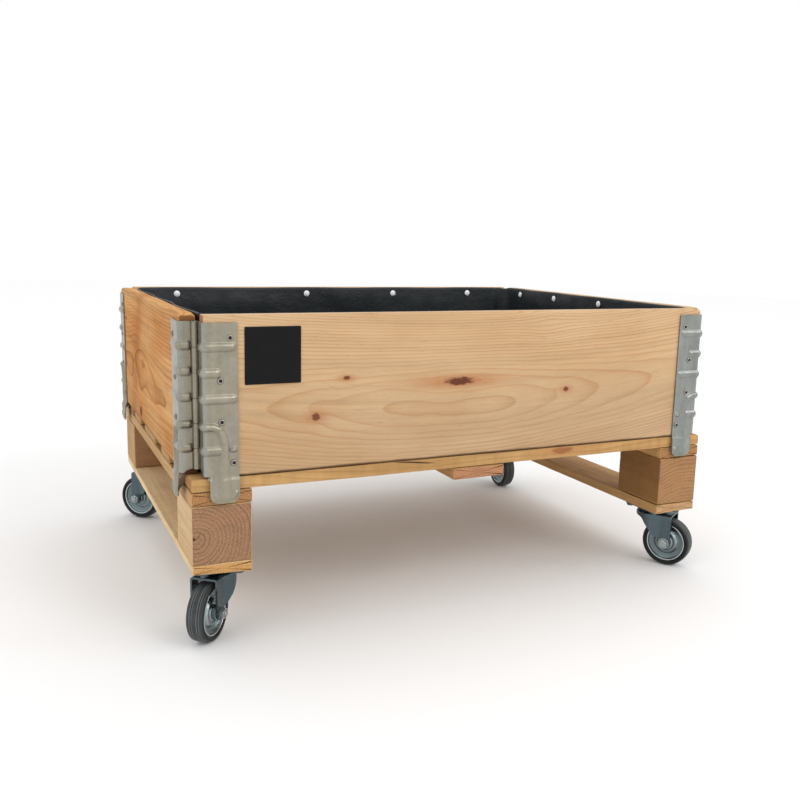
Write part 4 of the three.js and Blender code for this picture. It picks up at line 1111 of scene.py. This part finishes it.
toAxle = np.array([(1, 0, 0), (0, 0, 1), (0, -1, 0)]).T  # the lathe's Z becomes the axle's direction
upright, flip = np.eye(3), np.diag([1.0, -1.0, -1.0])
for name in corners:
    angle = math.radians(caster["yaw"][name])
    c, s = math.cos(angle), math.sin(angle)
    yaw = np.array([[c, -s, 0], [s, c, 0], [0, 0, 1]])
    pinLow, pinHigh = (np.array(corner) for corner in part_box("caster_kingpin_" + name))
    swivel = np.array([*(pinLow + pinHigh)[:2] / 2, 0])
    crownTop, plateTop = (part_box(part + name)[1][2] / mm for part in ("caster_fork_", "caster_plate_"))
    longSide, shortSide, thick = caster["plate"]
    bottom, race = plateTop - thick, caster["race"]

    sides = [(0.5, bottom), (0.1, bottom + 0.3), (0, bottom + 0.7), (0, plateTop - 0.6), (0.4, plateTop)]
    raceProfile = rounded([(0, crownTop + 0.2), (race - 4, crownTop + 0.2), (race - 0.5, crownTop + 0.5),
                           (race + 1.5, crownTop + 3.4), (race + 3.0, bottom - 0.2),
                           (race + 4.5, bottom + 0.4), (0, bottom + 0.4)], [1, 1.4, 1.5, 1.2, 0.3])
    parts = [plate(longSide / 2, shortSide / 2, caster["plateRound"], sides, 8), turned(raceProfile, 72)]
    for sx, sy in ((-1, -1), (-1, 1), (1, -1), (1, 1)):
        x, y = sx * caster["screws"][0], sy * caster["screws"][1]
        parts += [placed(hexagon(9.5, 3.4, 0.7, dome=0.3), flip, (x, y, bottom - 0.9)),
                  placed(washer(6.6, 0, 1.1, 28), flip, (x, y, bottom + 0.1))]
    points, quads = joined(*parts)
    makePiece("swivel_plate_" + name, points * mm + swivel, quads, blueZinc, "base", "caster_steel",
              "caster_plate_" + name, sharp=40)

    kingpin = rounded([(0, crownTop - 5.8), (4, crownTop - 5.8), (9.6, crownTop - 4.6), (10, crownTop - 2.8),
                       (6, crownTop - 2.8), (6, plateTop), (0, plateTop)], [0.5, 2.0, 0.4, 0.1, 0.3])
    points, quads = placed(turned(kingpin, 40, mm), upright, swivel)
    makePiece("swivel_rivet_" + name, points, quads, blueZinc, "base", "caster_steel",
              "caster_kingpin_" + name, sharp=50)

    shell = forkSurface(caster, crownTop)
    inside = Vector((*swivel[:2], 0.05))
    points, quads = solidified(shell * mm @ yaw.T + swivel, gridFaces(*shell.shape[:2]),
                               lambda at: at - inside, caster["sheet"] * mm)
    makePiece("fork_" + name, points, quads, blueZinc, "fork_" + name, "caster_steel", "caster_fork_" + name,
              recalc=False, sharp=40)

    axle = swivel + yaw @ np.array([caster["trail"], 0, caster["wheel"]]) * mm
    wheelTurn = yaw @ toAxle
    tyre, profile = tyreSurface(caster)
    # the ribs' crowns are worn grey, and the grooves' edges carry painted highlight lines
    radius, beside = profile[:, 0], np.abs(np.abs(profile[:, 1]) - caster["rib"])
    wearAndGlint = 0.25 * smooth(radius, caster["wheel"] - 3.0, caster["wheel"] - 0.4)
    wearAndGlint = wearAndGlint + 0.9 * smooth(radius, 36.8, 37.5) * highlightRing(beside, 1.2, 0.55)
    points, quads = placed(tyre, wheelTurn, axle)
    makePiece("tyre_" + name, points, quads, tyreBlack, "wheel_" + name, "tyre", "wheel_tyre_" + name,
              sharp=45, tone=around(wearAndGlint, tyre))

    rim, profile = rimSurface(caster)
    # painted highlights: the pressed lip, the web's inner step and the hub's mouth are lightened for the
    # reflections they catch
    radius = profile[:, 0]
    bright = smooth(radius, 26.6, 28.8) * 0.9 + 0.4 * highlightRing(radius, 17.5, 1.8) + 0.4 * highlightRing(radius, 9.8, 1.6)
    points, quads = placed(rim, wheelTurn, axle)
    makePiece("wheel_centre_" + name, points, quads, wheelZinc, "wheel_" + name, "caster_steel",
              "wheel_rim_" + name, sharp=40, tone=around(bright, rim))

    seat = caster["half"] + 0.3
    shank = turned(rounded([(0, -2 * seat - 7.5), (4.0, -2 * seat - 7.5), (4.0, 1), (0, 1)], [0.9, 0]), 32)
    head = hexagon(caster["boltAcross"], caster["boltHead"], 1.0, dome=0.25)
    bolt = joined(placed(head, upright, (0, 0, 0.7)), washer(8.6, -0.2, 0.9, 32), shank)
    nut = hexagon(caster["boltAcross"], caster["nut"], 0.9, bore=4.35)
    for piece, stands, part, turn, at in (("axle_screw_", "axle_bolt_", bolt, upright, seat),
                                          ("locking_nut_", "axle_nut_", nut, flip, -seat)):
        points, quads = placed(part, wheelTurn @ turn, axle + wheelTurn[:, 2] * at * mm, mm)
        makePiece(piece + name, points, quads, boltZinc, "fork_" + name, "caster_steel", stands + name,
                  sharp=40)
print("casters")

floorPaint = Paint("floor", {"Roughness": 0.9, "Specular IOR Level": 0.1})
x, y = floorPaint.place()[:2]
far = floorPaint.ease((x * x + y * y).root(), 0.9, 3.2)
floorTone = floorPaint.mix(far, (0.88, 0.88, 0.88), (0.98, 0.98, 0.98))
floorPaint.feed(floorPaint.shader.inputs["Base Color"], floorTone)
ring = np.radians(np.arange(0, 360, 7.5))
floorReach, floorDrop = 9, 0.0004
floorPoints = np.stack([floorReach * np.cos(ring), floorReach * np.sin(ring), 0 * ring - floorDrop], -1)
floorMesh = bpy.data.meshes.new("floor")
floorMesh.from_pydata(floorPoints.tolist(), [], [list(range(len(ring)))])
floorMesh.materials.append(floorPaint.material)
floor = bpy.data.objects.new("floor", floorMesh)
bpy.context.collection.objects.link(floor)

bpy.context.view_layer.update()
